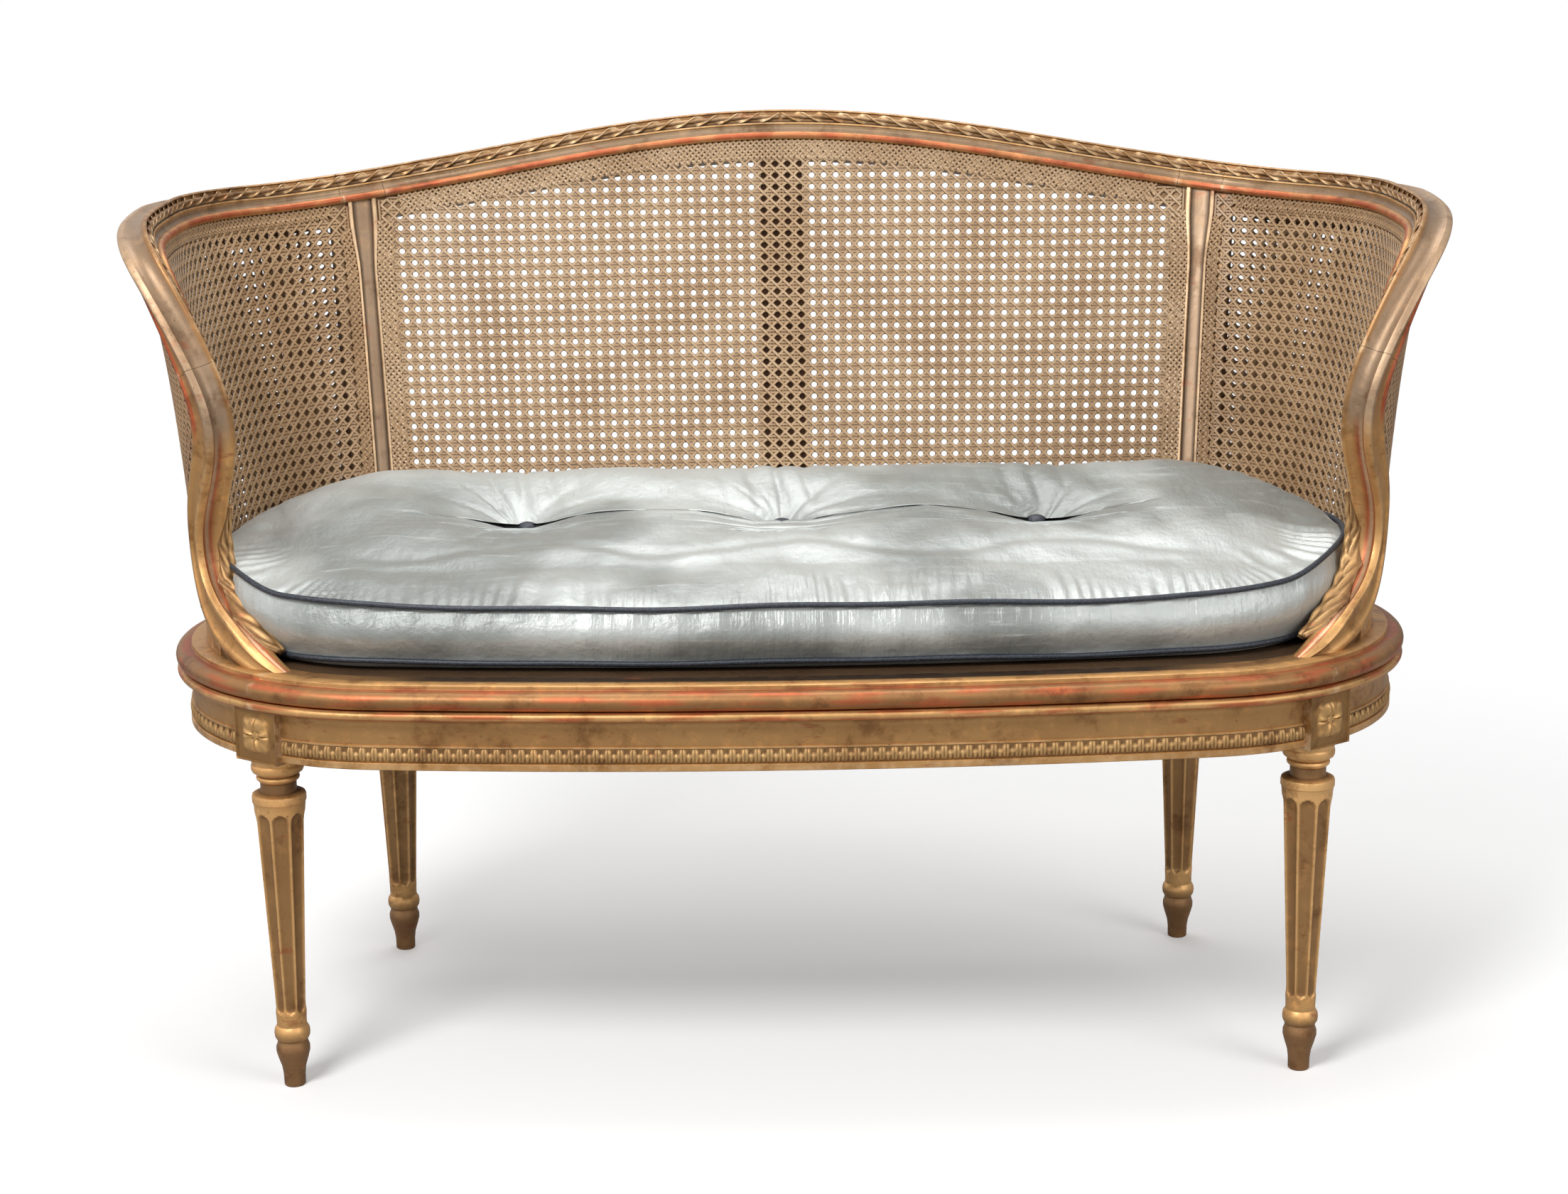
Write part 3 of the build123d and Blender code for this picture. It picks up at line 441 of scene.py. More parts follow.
# %% Silk and cord
def silk(name):
    """Silk with a sheen painted into its colour as light and dark patches, and weft and warp streaks;
    bumps for its crumple, for pleats that fade back from the front seam, and for the slubs."""
    cloth = Finish(name)
    slub = cloth.noise(160.0, 4.0, 0.6, (0.06, 1.0, 1.0))
    warp = cloth.noise(300.0, 2.0, 0.5, (1.0, 0.12, 0.12))
    # painted sheen: light and dark patches in the colour stand for the silk's reflections
    sheen_patches = cloth.band(cloth.noise(5.0, 3.0, 0.5), 0.42, 0.60)
    shade = cloth.mix(sheen_patches, (0.50, 0.525, 0.505), (0.25, 0.265, 0.25))
    shade = cloth.mix(cloth.times(cloth.band(slub, 0.55, 0.75), 0.5), shade, (0.54, 0.56, 0.54))
    shade = cloth.mix(cloth.times(cloth.band(warp, 0.62, 0.78), 0.35), shade, (0.27, 0.29, 0.28))
    crumple = cloth.noise(46.0, 5.0, 0.6, (0.8, 0.6, 0.8))
    depth = cloth.node("SeparateXYZ", {0: cloth.place}).outputs["Y"]
    fringe = cloth.ramp(depth, -0.225, -0.14, 1.0, 0.0)
    pleats = cloth.noise(110.0, 3.0, 0.5, (1.0, 0.12, 0.12))
    pleats = cloth.times(pleats, cloth.band(cloth.noise(9.0, 2.0), 0.42, 0.60))
    pleats = cloth.times(pleats, fringe)
    gloss = {"Roughness": 0.40, "Metallic": 0.2, "Sheen Weight": 0.25, "Sheen Roughness": 0.4}
    bumps = [(crumple, 0.42, 0.006), (pleats, 0.55, 0.005), (slub, 0.22, 0.0007)]
    return cloth.dress(shade, gloss, bumps)


def cord_cover(name):
    """Two dark slates mixed by a fine noise."""
    cloth = Finish(name)
    threads = cloth.noise(500.0, 3.0)
    shade = cloth.mix(cloth.band(threads, 0.40, 0.66), (0.012, 0.016, 0.024), (0.040, 0.050, 0.066))
    return cloth.dress(shade, {"Roughness": 0.5}, [(threads, 0.3, 0.0006)])


silk_cover = silk("slubbed_silk")
slate = cord_cover("slate_cord")
print("silk and cord materials ready")

# %% [markdown]
# ## Crest, arms and arm supports
#
# A moulding is one profile carried along a line, as a moulding plane would cut it. The profile's first
# axis points to the sitter and its second away from the cane. Each of its points has a tint: red clay
# on the beads next to the cane, grey in the rubbed hollows, worn gilding on the outer edge. A bevelled
# curve could carry the profile too, but it has no tongue for the cane, nor a toe that melts away.

# %% Profile of the moulded frame
profile = np.array([
    (13.2, -17.0), (15.6, -16.9), (17.3, -15.6), (18.0, -13.4), (17.6, -11.0), (16.2, -9.4), (14.2, -8.8),
    (12.9, -8.6), (11.7, -7.0), (11.1, -4.6), (11.4, -2.2), (12.6, -0.6), (14.4, -0.2),
    (14.6, 1.4), (13.4, 1.9), (11.6, 2.6), (11.2, 5.0), (11.2, 11.0), (11.6, 13.6), (13.2, 14.8),
    (12.6, 16.2), (10.4, 17.0), (8.6, 16.6), (6.0, 14.6), (2.0, 12.9), (-2.6, 12.5), (-7.0, 13.6),
    (-9.6, 15.8), (-10.8, 17.0), (-15.6, 17.0), (-17.4, 16.0), (-18.0, 14.0), (-17.6, 12.0), (-15.8, 11.2),
    (-14.2, 8.4), (-13.2, 4.2), (-13.0, -0.6), (-13.6, -4.6), (-15.0, -8.0),
    (-16.0, -8.9), (-17.6, -10.4), (-18.0, -13.0), (-17.2, -15.6), (-15.4, -16.9), (-13.2, -17.0),
])
# the inner bead's points come first, and the points of the top lie between two numbers
BEAD_POINTS, TOP_AFTER, TOP_BEFORE = 7, 17, 32
profile_tint = np.array(
    [OCHRE] * 2 + [RED] * 3 + [WARM] * 2 + [GREY] * 3 + [CHALK] * 2 + [OCHRE] * 2 + [DARK] * 2
    + [UMBER] * 7 + [GREY] * 5 + [WORN] * 5 + [WARM] * 6 + [RED] * 6
)
support_tint = np.array(
    [GOLD] * 7 + [OCHRE] * 6 + [GOLD] * 10 + [OCHRE] * 2 + [RED] + [CHALK] + [RED] + [OCHRE] * 4
    + [GOLD] * 13
)
print("profile points", len(profile), len(profile_tint), len(support_tint))

# %% Places beside the line and towards the toe
TONGUE_BACK, TONGUE_SUPPORT, TONGUE_BEND = 20.0, 12.0, 9.0


def tongue_depth(s):
    """Depth of the tongue under the cane's edge: deep on the back, less on the support, least in the bend."""
    bend = SPAN + 4.9 * ARM_STEP
    full = np.where(np.abs(s) > bend, TONGUE_SUPPORT, TONGUE_BACK)
    near = ease(1 - np.abs(np.abs(s) - bend) / (2.2 * ARM_STEP))
    return full - (full - TONGUE_BEND) * near


def beside_frame(s, reach):
    """phi and height on the basket at a reach from the line towards the cane, by Newton steps."""
    point, _, y = frame_axes(s)
    target = point - y * np.broadcast_to(np.asarray(reach, float), np.shape(s))[..., None]
    phi, z = frame_line(s)
    for _ in range(4):
        left = target - basket(phi, z)
        run, rise = along_plan(phi, z), along_height(phi, z)
        a, b, c = (run * run).sum(-1), (run * rise).sum(-1), (rise * rise).sum(-1)
        d, e = (left * run).sum(-1), (left * rise).sum(-1)
        phi = phi + (d * c - e * b) / (a * c - b * b)
        z = z + (e * a - d * b) / (a * c - b * b)
    return phi, z


def towards_toe(s, before, over):
    """Eases from 0 to 1 over a stretch of the line that begins somewhat before its end."""
    return ease((np.abs(s) - PATH_END + before) / over)


def toe_thinning(s):
    """The support melts into the seat rail: its upper side falls away towards the toe."""
    return 1 - 0.9 * towards_toe(s, 0.40, 0.56)


print("deepest and least tongue", tongue_depth(np.array([0.0, SPAN + 4.9 * ARM_STEP])))

# %% Mouldings along the line
TOE_DOME, TOE_SLIM, TOE_BEFORE = 15.0, 0.5, 0.45
SUPPORT_TINT_FROM, SUPPORT_TINT_OVER = 3.95, 0.2
KEPT_GOLD = 0.4
JOINT_GAP = 0.4


def toward(tint, colour, share):
    """Tint mixed with a colour by a share."""
    return tint + (np.asarray(colour) - tint) * share


def carve(name, points, faces, tint, side=1, replaced=None, crisp=38.0):
    """Gilt piece on one side; edges bent by more than crisp degrees stay sharp."""
    made = piece(name, on_side(points, side), faces, gilt, tint=tint)
    if crisp:
        sharpen(made, crisp)
    if replaced:
        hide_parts(replaced)


def carried_profile(s):
    """Profile along the line; near the toe its top eases into a slim dome, 1 less the square across."""
    point, x, y = frame_axes(s)
    across, away = profile[None, :, :1], profile[None, :, 1:]
    order = np.arange(len(profile))[None, :, None]
    on_top = (order > TOP_AFTER) & (order < TOP_BEFORE)
    dome = np.where(on_top, TOE_DOME * (1 - (across / HALF_W) ** 2), 0.0)
    settle = towards_toe(s, TOE_BEFORE, 0.40)[:, None, None]
    above = (away * (1 - settle) + dome * settle) * toe_thinning(s)[:, None, None]
    slim = 1 - TOE_SLIM * towards_toe(s, TOE_BEFORE, 0.55)[:, None, None]
    return point[:, None] + x[:, None] * across * slim + y[:, None] * np.where(away > 0, above, away)


def moulding_tint(s):
    """Tint of the crest turning into that of the support, with gold kept in patches on the inner bead."""
    lower = ease((np.abs(s) - SUPPORT_TINT_FROM) / SUPPORT_TINT_OVER)[:, None, None]
    patch = np.sin(13 * s) + np.sin(29 * s + 1.0) + 0.7 * np.sin(61 * s + 2.0)
    kept = KEPT_GOLD * ease((patch + 0.8) / 2.4)[:, None, None]
    on_bead = (np.arange(len(profile)) < BEAD_POINTS)[None, :, None]
    return toward(toward(profile_tint[None], support_tint[None], lower), OCHRE, kept * on_bead)


def moulding(names, start, end, spacing=6.0):
    """Closed profile carried along the frame's line, with a tongue that follows the basket."""
    s, _ = even_stations(start, end, spacing)
    root, tip = beside_frame(s, HALF_H - 1.0), beside_frame(s, HALF_H + tongue_depth(s))
    corners = ((root, -TONGUE), (tip, -TONGUE), (tip, TONGUE), (root, TONGUE))
    tongue = np.stack([on_basket(*place, offset)[0] for place, offset in corners], 1)
    grid = np.concatenate([carried_profile(s), tongue], 1)
    # the tongue is darkened tan: painted shade between the edge strands
    tint = np.concatenate([moulding_tint(s), np.broadcast_to(SHADED_TAN, tongue.shape)], 1)
    for (side, _), name in zip(SIDES, names):
        replaced = name if name in nodes else None
        carve(name + "_moulding", grid, closed_run(grid), tint, side, replaced)
    print(names, "stations", len(s), "points", grid.shape[0] * grid.shape[1])


seam = JOINT_GAP / head_speed
moulding(["crest_rail"], -HEAD_START + seam, HEAD_START - seam)
moulding(["right_stile_head", "left_stile_head"], HEAD_START, HEAD_END)
moulding(["right_arm_rail", "left_arm_rail"], HEAD_END + seam, ARM_JOINT - 0.002)
moulding(["right_arm_support", "left_arm_support"], ARM_JOINT, PATH_END + 0.28, 5.0)

# %% [markdown]
# ## Leaves on the supports
#
# A carved leaf climbs from each support's toe. It is a grid of its own laid on the moulding: lobes come
# from a rippled half-width, and the ribs are cosines of the place along and across the leaf. Sculpting
# would do as well, but a formula keeps the two sides alike.

# %% Leaves
LEAF_HALF, LEAF_MIDRIB, LEAF_SINK = 24.0, 24.0, -5.0
LEAF_FOOT, LEAF_CLIMB = 0.12, 1.18
LEAF_LOW_TINT, LEAF_HIGH_TINT = (0.22, 0.115, 0.04), (0.54, 0.33, 0.14)
# line across the moulding that the leaf wraps round, from the outer top edge over to the inner side
leaf_wrap = np.array([(-9, 13.5), (2, 14.5), (10, 16.5), (15.5, 13.5), (17.6, 6), (18.2, -4), (18.2, -26)])
wrap_length = arc_length(leaf_wrap)


def bell(x, width):
    """Bell curve: e to the minus square of x over width."""
    return np.exp(-((x / width) ** 2))


def interp_rows(at, length, rows):
    """Rows of a table interpolated at places along its length."""
    return np.stack([np.interp(at, length, column) for column in rows.T], -1)


def support_leaf(name, side):
    """Half-width = a power of a cosine times a ripple of four lobes; height = a dome, a midrib and
    slanted ribs. The leaf wraps round the moulding along a bent line."""
    t, v = np.linspace(0, 1, 110)[:, None], np.linspace(-1, 1, 29)[None, :]
    s = PATH_END - LEAF_FOOT - LEAF_CLIMB * t[:, 0]
    point, x, y = frame_axes(s)
    lobes = 1 - 0.26 * np.abs(np.sin(4 * np.pi * t)) ** 0.7
    taper = np.clip(np.cos(np.pi / 2 * np.clip(t * 1.02, 0, 1)), 0.03, 1) ** 0.7
    place = LEAF_MIDRIB + v * (LEAF_HALF * taper * lobes * ease(0.35 + t * 6))
    ribs = np.cos(2 * np.pi * (8 * t - 1.9 * np.abs(v)))
    dome = 1 - np.abs(v) ** 2.6
    midrib = 1.5 * bell(v, 0.10) - 1.0 * bell(np.abs(v) - 0.22, 0.08)
    height = 2.4 * dome + 1.0 * ribs * dome**0.5 + midrib
    base = interp_rows(place, wrap_length, leaf_wrap)
    after, before = (interp_rows(place + step, wrap_length, leaf_wrap) for step in (2, -2))
    run = unit(after - before)

    def raised(amount):
        """The leaf's surface at a height over the moulding, flattened with the toe."""
        p, q = base[..., 0] - run[..., 1] * amount, base[..., 1] + run[..., 0] * amount
        q = np.where(q > 0, q * toe_thinning(s)[:, None], q)
        return point[:, None] + x[:, None] * p[..., None] + y[:, None] * q[..., None]

    top, under = raised(0.8 + height), raised(LEAF_SINK)
    grid = np.concatenate([top, under[:, ::-1]], 1)
    tint = toward(np.array(LEAF_LOW_TINT), LEAF_HIGH_TINT, ease((height - 0.2) / 3.2)[..., None])
    tint = np.concatenate([tint, np.broadcast_to(LEAF_LOW_TINT, under.shape)], 1)
    carve(name, grid, closed_run(grid), tint, side, crisp=None)
    print(name, "points", grid.shape)


for side, word in SIDES:
    support_leaf(f"{word}_support_leaf", side)

# %% [markdown]
# ## Twisted ribbon
#
# A ribbon wound round a rod runs along the inner top edge and turns the other way past the middle of
# the crest. It is a flat strip turned half round every pitch as it goes along the line, with a thin rod
# in its middle. Carving it as bump would vanish from the side, so it is a real strip.

# %% Ribbon
RIBBON_IN, RIBBON_UP, RIBBON_PITCH, RIBBON_ROD, RIBBON_FLAT = 12.2, 8.4, 23.5, 2.5, 0.6
RIBBON_START, RIBBON_END, RIBBON_FADE = 0.004, 4.02, 3.7
RIBBON_TINT, ROD_TINT = (0.36, 0.205, 0.08), (0.24, 0.125, 0.05)
strip = np.array([(-5.4, -0.7), (-5.4, 0.7), (0.0, 1.0), (5.4, 0.7), (5.4, -0.7), (0.0, -1.0)])


def tube(center, a, b, radius, count):
    """Rings of count points round a line: centre plus radius times (a cosine + b sine)."""
    turn = np.linspace(0, 2 * np.pi, count, endpoint=False)[None, :, None]
    return center[:, None] + radius * (a[:, None] * np.cos(turn) + b[:, None] * np.sin(turn))


def joined(shells):
    """Points and faces of several shells as one list each."""
    points, faces, offset = [], [], 0
    for shell, shell_faces in shells:
        points.append(np.reshape(shell, (-1, 3)))
        faces += [[i + offset for i in f] for f in shell_faces]
        offset += len(points[-1])
    return np.concatenate(points), faces


def ribbon(name, side):
    """Strip section turned by pi times length over pitch about a line on the inner top edge, and a rod."""
    s, length = even_stations(RIBBON_START, RIBBON_END, 1.6)
    point, x, y = frame_axes(s)
    fade = 1 - 0.6 * ease((s - RIBBON_FADE) / 0.32)[:, None, None]
    center = point + x * RIBBON_IN + y * RIBBON_UP
    turn = (np.pi * length / RIBBON_PITCH + np.pi / 4)[:, None, None]
    across, thick = strip[None, :, :1], strip[None, :, 1:]
    along_x = (across * np.sin(turn) + thick * np.cos(turn)) * fade * RIBBON_FLAT
    along_y = (across * np.cos(turn) - thick * np.sin(turn)) * fade
    wound = center[:, None] + x[:, None] * along_x + y[:, None] * along_y
    rod = tube(center, x, y, RIBBON_ROD, 8)
    points, faces = joined([(wound, closed_run(wound)), (rod, closed_run(rod))])
    tint = np.repeat([RIBBON_TINT, ROD_TINT], [wound.size // 3, rod.size // 3], 0)
    carve(name, points, faces, tint, side, crisp=50.0)
    print(name, "points", len(points))


for side, word in SIDES:
    ribbon(f"{word}_ribbon", side)

# %% [markdown]
# ## Seat rails
#
# The seat is an oval: a bowed front, two round ends and a straight back. Its moulded section runs all
# the way round, cut at the four legs, so the same carried profile makes all four rails.


# %% Oval path
def arc(center, radius, start, end, spacing):
    """Points about spacing millimetres apart on an arc between two angles, and the ways out from it."""
    turn = np.radians(np.linspace(start, end, 2 + int(radius * math.radians(end - start) / spacing)))
    out = np.stack([np.cos(turn), np.sin(turn), 0 * turn], -1)
    return np.array([*center, 0.0]) + out * radius, out


def end_arc(start, end, spacing):
    """Stretch of the right round end; its angles run from the front through 0 to 90 at the back."""
    return arc((END_X, OVAL_Y), END_R, start, end, spacing)


def chain(first, second):
    """Two stretches as one, without the point that they share."""
    return [np.concatenate([a, b[1:]]) for a, b in zip(first, second)]


def reflected(stretch):
    """The same stretch on the left, run through from its other end."""
    return [mirrored(part[::-1]) for part in stretch]


def whole_front(spacing):
    """From leg to leg: the end's arc and the bowed front on the right, and their mirror image."""
    bowed = arc((0.0, FRONT_Y), FRONT_R, -90.0, -90 + FRONT_HALF, spacing)
    right = chain(bowed, end_arc(-90 + FRONT_HALF, FRONT_LEG, spacing))
    return chain(reflected(right), right)


def whole_back(spacing):
    """From leg to leg: the end's arc and half the straight back on the right, and their mirror image."""
    x = np.linspace(END_X, 0, 2 + int(END_X / spacing))
    straight = np.stack([x, 0 * x + OVAL_Y + END_R, 0 * x], -1), np.tile([0.0, 1.0, 0.0], (len(x), 1))
    right = chain(end_arc(REAR_LEG, 90.0, spacing), straight)
    return chain(right, reflected(right))


end_path, end_out = end_arc(FRONT_LEG, REAR_LEG, 5.0)
print("front", round(arc_length(whole_front(7.0)[0])[-1]), "end", round(arc_length(end_path)[-1]))

# %% Rail section
TORUS_OUT, TORUS_Z, TORUS_R = 5.0, 408.5, 9.0
TORUS_TINT = (0.30, 0.145, 0.05)
torus_turn = np.radians(np.linspace(-84, 90, 11))
torus = np.stack([np.cos(torus_turn), np.sin(torus_turn)], -1) * TORUS_R + (TORUS_OUT, TORUS_Z)
# points as the way out from the frieze line and the height, up from the underside
rail_section = np.concatenate([
    [(-48, 340.0), (1.6, 340.0), (2.5, 340.8), (2.5, 346.4), (1.9, 347.0), (0.2, 347.3), (0.2, 361.8)],
    [(1.3, 362.0), (1.3, 363.8), (0.0, 364.2), (0.0, 380.8), (0.7, 384.4), (2.6, 387.7), (6.0, 390.2)],
    [(10.6, 391.0), (12.0, 391.2), (13.0, 393.0), (13.2, 394.6), (12.8, 396.6), (11.4, 398.0)],
    [(9.2, 398.4), (8.6, 399.0)],
    torus,
    [(-1.4, 417.6), (-2.0, 418.2), (-2.2, 421.4), (-3.0, 422.0), (-15.0, 422.0), (-18.0, 422.0)],
    [(-33.8, 422.0), (-33.8, 419.5), (-48.0, 419.5)],
])
# the first point is the darkened tan of painted shade; the last four, on the top behind the step and in the
# rebate, are near-black painted shadow under the cushion
rail_tint = np.array(
    [SHADED_TAN] + [GOLD] * 10 + [OCHRE] * 4 + [RED] + [OCHRE] * 5 + [RED] + [TORUS_TINT] * 11 + [RED]
    + [OCHRE] * 2 + [GOLD] * 2 + [DARK] * 4
)
# numbers of the section's points that bound the rubbed mouldings and the rebate with its painted shadow
RUB_AFTER, RUB_BEFORE, REBATE_AFTER = 14, 35, 37
RUB_SHARE = 0.85
print("rail section", len(rail_section), len(rail_tint))


# %% Rails
def rail(node_name, path, out, side=1):
    """Section carried along the path; clay shows where a sum of three sines along it is high, and the painted
    shadow behind the step eases to umber at the ends.
    """
    grid = path[:, None] + out[:, None] * rail_section[None, :, :1] + UP * rail_section[None, :, 1:]
    x, y = path[:, None, 0], path[:, None, 1]
    k = np.arange(len(rail_section))[None, :]
    streak = np.sin(x / 37.0 + 0.9 * k) + np.sin(x / 14.3 - 0.5 * k + y / 23.0)
    streak = streak + np.sin(x / 91.0 + 1.7 * k + y / 50.0)
    # towards the round ends the painted shadow behind the step eases from near-black to umber
    shadow_eased_to_umber = ease((np.abs(x) - 330) / 100) * (k > REBATE_AFTER)
    rubbed = RUB_SHARE * ease((streak - 0.2) / 1.4) * ((k > RUB_AFTER) & (k < RUB_BEFORE))
    tint = toward(toward(rail_tint[None], UMBER, shadow_eased_to_umber[..., None]), RED, rubbed[..., None])
    carve(node_name + "_moulding", grid, closed_run(grid), tint, side, node_name)
    print(node_name, "stations", len(path))


rail("front_seat_rail", *whole_front(7.0))
rail("back_seat_rail", *whole_back(9.0))
for side, word in SIDES:
    rail(f"{word}_seat_rail", end_path, end_out, side)

# %% [markdown]
# ## Leaf band
#
# A small carved band runs near the bottom of the rails, one little leaf per cell. It is a height field
# on a fine strip laid on the rail; separate leaves would have to be bent one by one.

# %% Leaf band
BAND_CELL, BAND_FOOT, BAND_HEIGHT, BAND_SINK = 11.7, 347.2, 14.6, 0.8
BAND_LOW_TINT, BAND_HIGH_TINT = (0.25, 0.135, 0.048), (0.52, 0.315, 0.125)


def half_ball(a, b=0.0):
    """Height of a ball of radius 1 over its middle plane, and zero outside it."""
    return np.sqrt(np.clip(1 - a**2 - b**2, 0, None))


def leaf_band(name, path, out, side=1):
    """Height over even cells: a domed leaf parted by a groove, and a dart between leaves."""
    length = arc_length(path)
    cells = max(1, round(length[-1] / BAND_CELL))
    fine = np.linspace(0, length[-1], cells * 10 + 1)
    base = interp_rows(fine, length, path)[:, None]
    way = unit(interp_rows(fine, length, out))[:, None]
    u = ((fine / length[-1] * cells) % 1.0 * 2 - 1)[:, None]
    v = np.linspace(0, 1, 11)[None, :]
    groove = 0.75 * bell(u, 0.13) * ease((v - 0.02) / 0.2)
    leaf = np.maximum(half_ball(u / 0.66, (v - 0.50) / 0.47) - groove, 0)
    dart = half_ball((np.abs(u) - 1) / 0.30, (v - 0.36) / 0.32)
    height = 0.2 + 3.0 * leaf + 2.4 * dart
    height[:, 0] = height[:, -1] = 0.1
    level = UP * (BAND_FOOT + BAND_HEIGHT * v)[..., None]
    back = base - way * BAND_SINK + level[:, ::-10]
    grid = np.concatenate([base + way * height[..., None] + level, back], 1)
    tint = toward(np.array(BAND_LOW_TINT), BAND_HIGH_TINT, ease(height / 2.2)[..., None])
    tint = np.concatenate([tint, np.broadcast_to(BAND_LOW_TINT, back.shape)], 1)
    carve(name, grid, closed_run(grid), tint, side, crisp=None)
    print(name, "cells", cells)


leaf_band("front_leaf_band", *whole_front(4.0))
leaf_band("back_leaf_band", *whole_back(6.0))
for side, word in SIDES:
    leaf_band(f"{word}_leaf_band", end_path, end_out, side)

# %% [markdown]
# ## Legs
#
# Each leg is turned on a lathe and then fluted, so its radius is a function of height and angle: the
# turned profile less eight hollows that end in round heads. The block above carries a leaf rosette,
# which is a height field on its outer face.

# %% Turned and fluted shaft
# height and radius, up from the foot: foot, ring, shaft, shoulder, neck and the bead under the block
turned = np.array([
    (0.0, 9.6), (1.2, 10.5), (12.0, 10.7), (20.0, 11.8), (29.0, 14.6), (36.0, 16.5), (41.0, 16.5),
    (44.5, 15.2), (47.5, 14.5), (48.6, 15.4), (51.5, 17.0), (55.5, 17.5), (59.5, 17.0), (62.4, 15.4),
    (63.5, 14.6), (69.0, 14.6), (75.0, 14.9), (288.0, 24.6), (293.4, 25.2), (294.0, 26.0), (299.0, 26.1),
    (301.4, 25.4), (302.6, 23.0), (303.6, 17.6), (305.5, 17.4), (313.0, 17.4), (314.2, 18.6),
    (316.0, 20.4), (317.8, 20.9), (319.6, 20.3), (320.6, 18.8), (321.2, 18.6), (322.0, 21.5),
    (324.0, 24.2), (326.5, 25.3), (330.0, 25.3), (332.0, 24.4), (333.0, 24.6), (338.2, 25.2),
])
shaft_levels = [np.linspace(75, 288, 46), np.linspace(268, 288, 14), np.linspace(75, 84, 6)]
levels = np.unique(np.concatenate([turned[:, 0], *shaft_levels]))
FLUTES, FLUTE_FOOT, FLUTE_HEAD, FLUTE_DEPTH, FLUTE_SHARE = 8, 78.0, 284.0, 3.6, 0.44
LEG_GOLD, FLUTE_SHADE = (0.74, 0.43, 0.17), (0.34, 0.185, 0.07)
FOOT_TINT, NECK_PAINTED_SHADE = (0.15, 0.068, 0.034), (0.22, 0.115, 0.048)


def fluted_leg():
    """Radius = turned radius less a round hollow about each of eight meridians, ended by arches."""
    turn = np.linspace(0, 2 * np.pi, 128, endpoint=False)
    level = levels[:, None]
    radius = np.interp(levels, turned[:, 0], turned[:, 1])[:, None]
    away = (turn[None, :] / (2 * np.pi) * FLUTES - 0.5) % 1.0 - 0.5
    half = FLUTE_SHARE * 2 * np.pi * radius / FLUTES
    past = np.maximum(np.maximum(level - (FLUTE_HEAD - half), FLUTE_FOOT + half - level), 0)
    fluted = (level > FLUTE_FOOT - 1) & (level < FLUTE_HEAD + 1)
    hollow = FLUTE_DEPTH * radius / 20 * half_ball(away / FLUTE_SHARE, past / half) * fluted
    r = radius - hollow
    grid = np.stack([r * np.cos(turn), r * np.sin(turn), np.broadcast_to(level, r.shape)], -1)
    rubbed = 0.75 * ease((64 - level) / 22)
    # the neck under the block is painted darker, as the shade that falls there
    neck = 0.8 * (ease((level - 301.5) / 2) * ease((315 - level) / 2))
    tint = toward(np.array(LEG_GOLD), FLUTE_SHADE, ease(hollow / 2.4)[..., None])
    tint = toward(tint, FOOT_TINT, rubbed[..., None])
    return grid, toward(tint, NECK_PAINTED_SHADE, neck[..., None])


shaft, shaft_tint = fluted_leg()
print("leg grid", shaft.shape)

# %% Corner block with its rosette
BLOCK_HALF, BLOCK_Z, BLOCK_HALF_Z, FIELD_DEPTH = 27.0, 364.5, 26.5, 1.4
ROSETTE_LOW_TINT, ROSETTE_HIGH_TINT = (0.30, 0.16, 0.052), (0.56, 0.33, 0.125)


def hoop(r, middle, width):
    """One at a middle radius, falling with the square of the distance from it to zero."""
    return np.clip(1 - ((r - middle) / width) ** 2, 0, 1)


def corner_block():
    """Box whose outer face is a height field sunk behind a thin rim: a bud, four petals and four leaves,
    each a hoop times a power of a cosine of the angle."""
    n = 61
    a, b = np.meshgrid(np.linspace(-1, 1, n), np.linspace(-1, 1, n), indexing="ij")
    r, turn = np.hypot(a, b) / 0.86, np.arctan2(b, a)
    petal = hoop(r, 0.42, 0.36) * np.abs(np.cos(2 * (turn - np.pi / 2))) ** 1.4
    cross = hoop(r, 0.55, 0.42) * np.abs(np.sin(2 * turn)) ** 3
    vein = 0.35 * bell(np.sin(2 * turn), 0.10) + 0.2 * np.cos(8 * turn) ** 2
    height = 4.6 * petal * (1 - vein) + 3.0 * cross * (1 - 0.4 * np.cos(6 * turn) ** 2)
    edge = np.maximum(np.abs(a), np.abs(b))
    height = (height + 2.2 * half_ball(r / 0.17)) * (edge < 0.93)
    out = BLOCK_HALF - FIELD_DEPTH * (edge <= 0.95) + height * 0.9
    face = np.stack([out, a * BLOCK_HALF, BLOCK_Z + b * BLOCK_HALF_Z], -1)
    back = face[[0, 0, -1, -1], [0, -1, -1, 0]].copy()
    back[:, 0] = -BLOCK_HALF
    index = np.arange(n * n).reshape(n, n)
    k = n * n
    faces = grid_faces(n, n, False, False)
    faces += [index[:, 0].tolist() + [k + 3, k], index[:, -1].tolist() + [k + 2, k + 1]]
    faces += [index[0].tolist() + [k + 1, k], index[-1].tolist() + [k + 2, k + 3]]
    faces.append([k, k + 1, k + 2, k + 3])
    tint = toward(np.array(ROSETTE_LOW_TINT), ROSETTE_HIGH_TINT, ease(height / 2.2)[..., None])
    points = np.concatenate([face.reshape(-1, 3), back])
    return points, faces, np.concatenate([tint.reshape(-1, 3), np.tile(GOLD, (4, 1))])


block, block_faces, block_tint = corner_block()
print("block points", len(block))


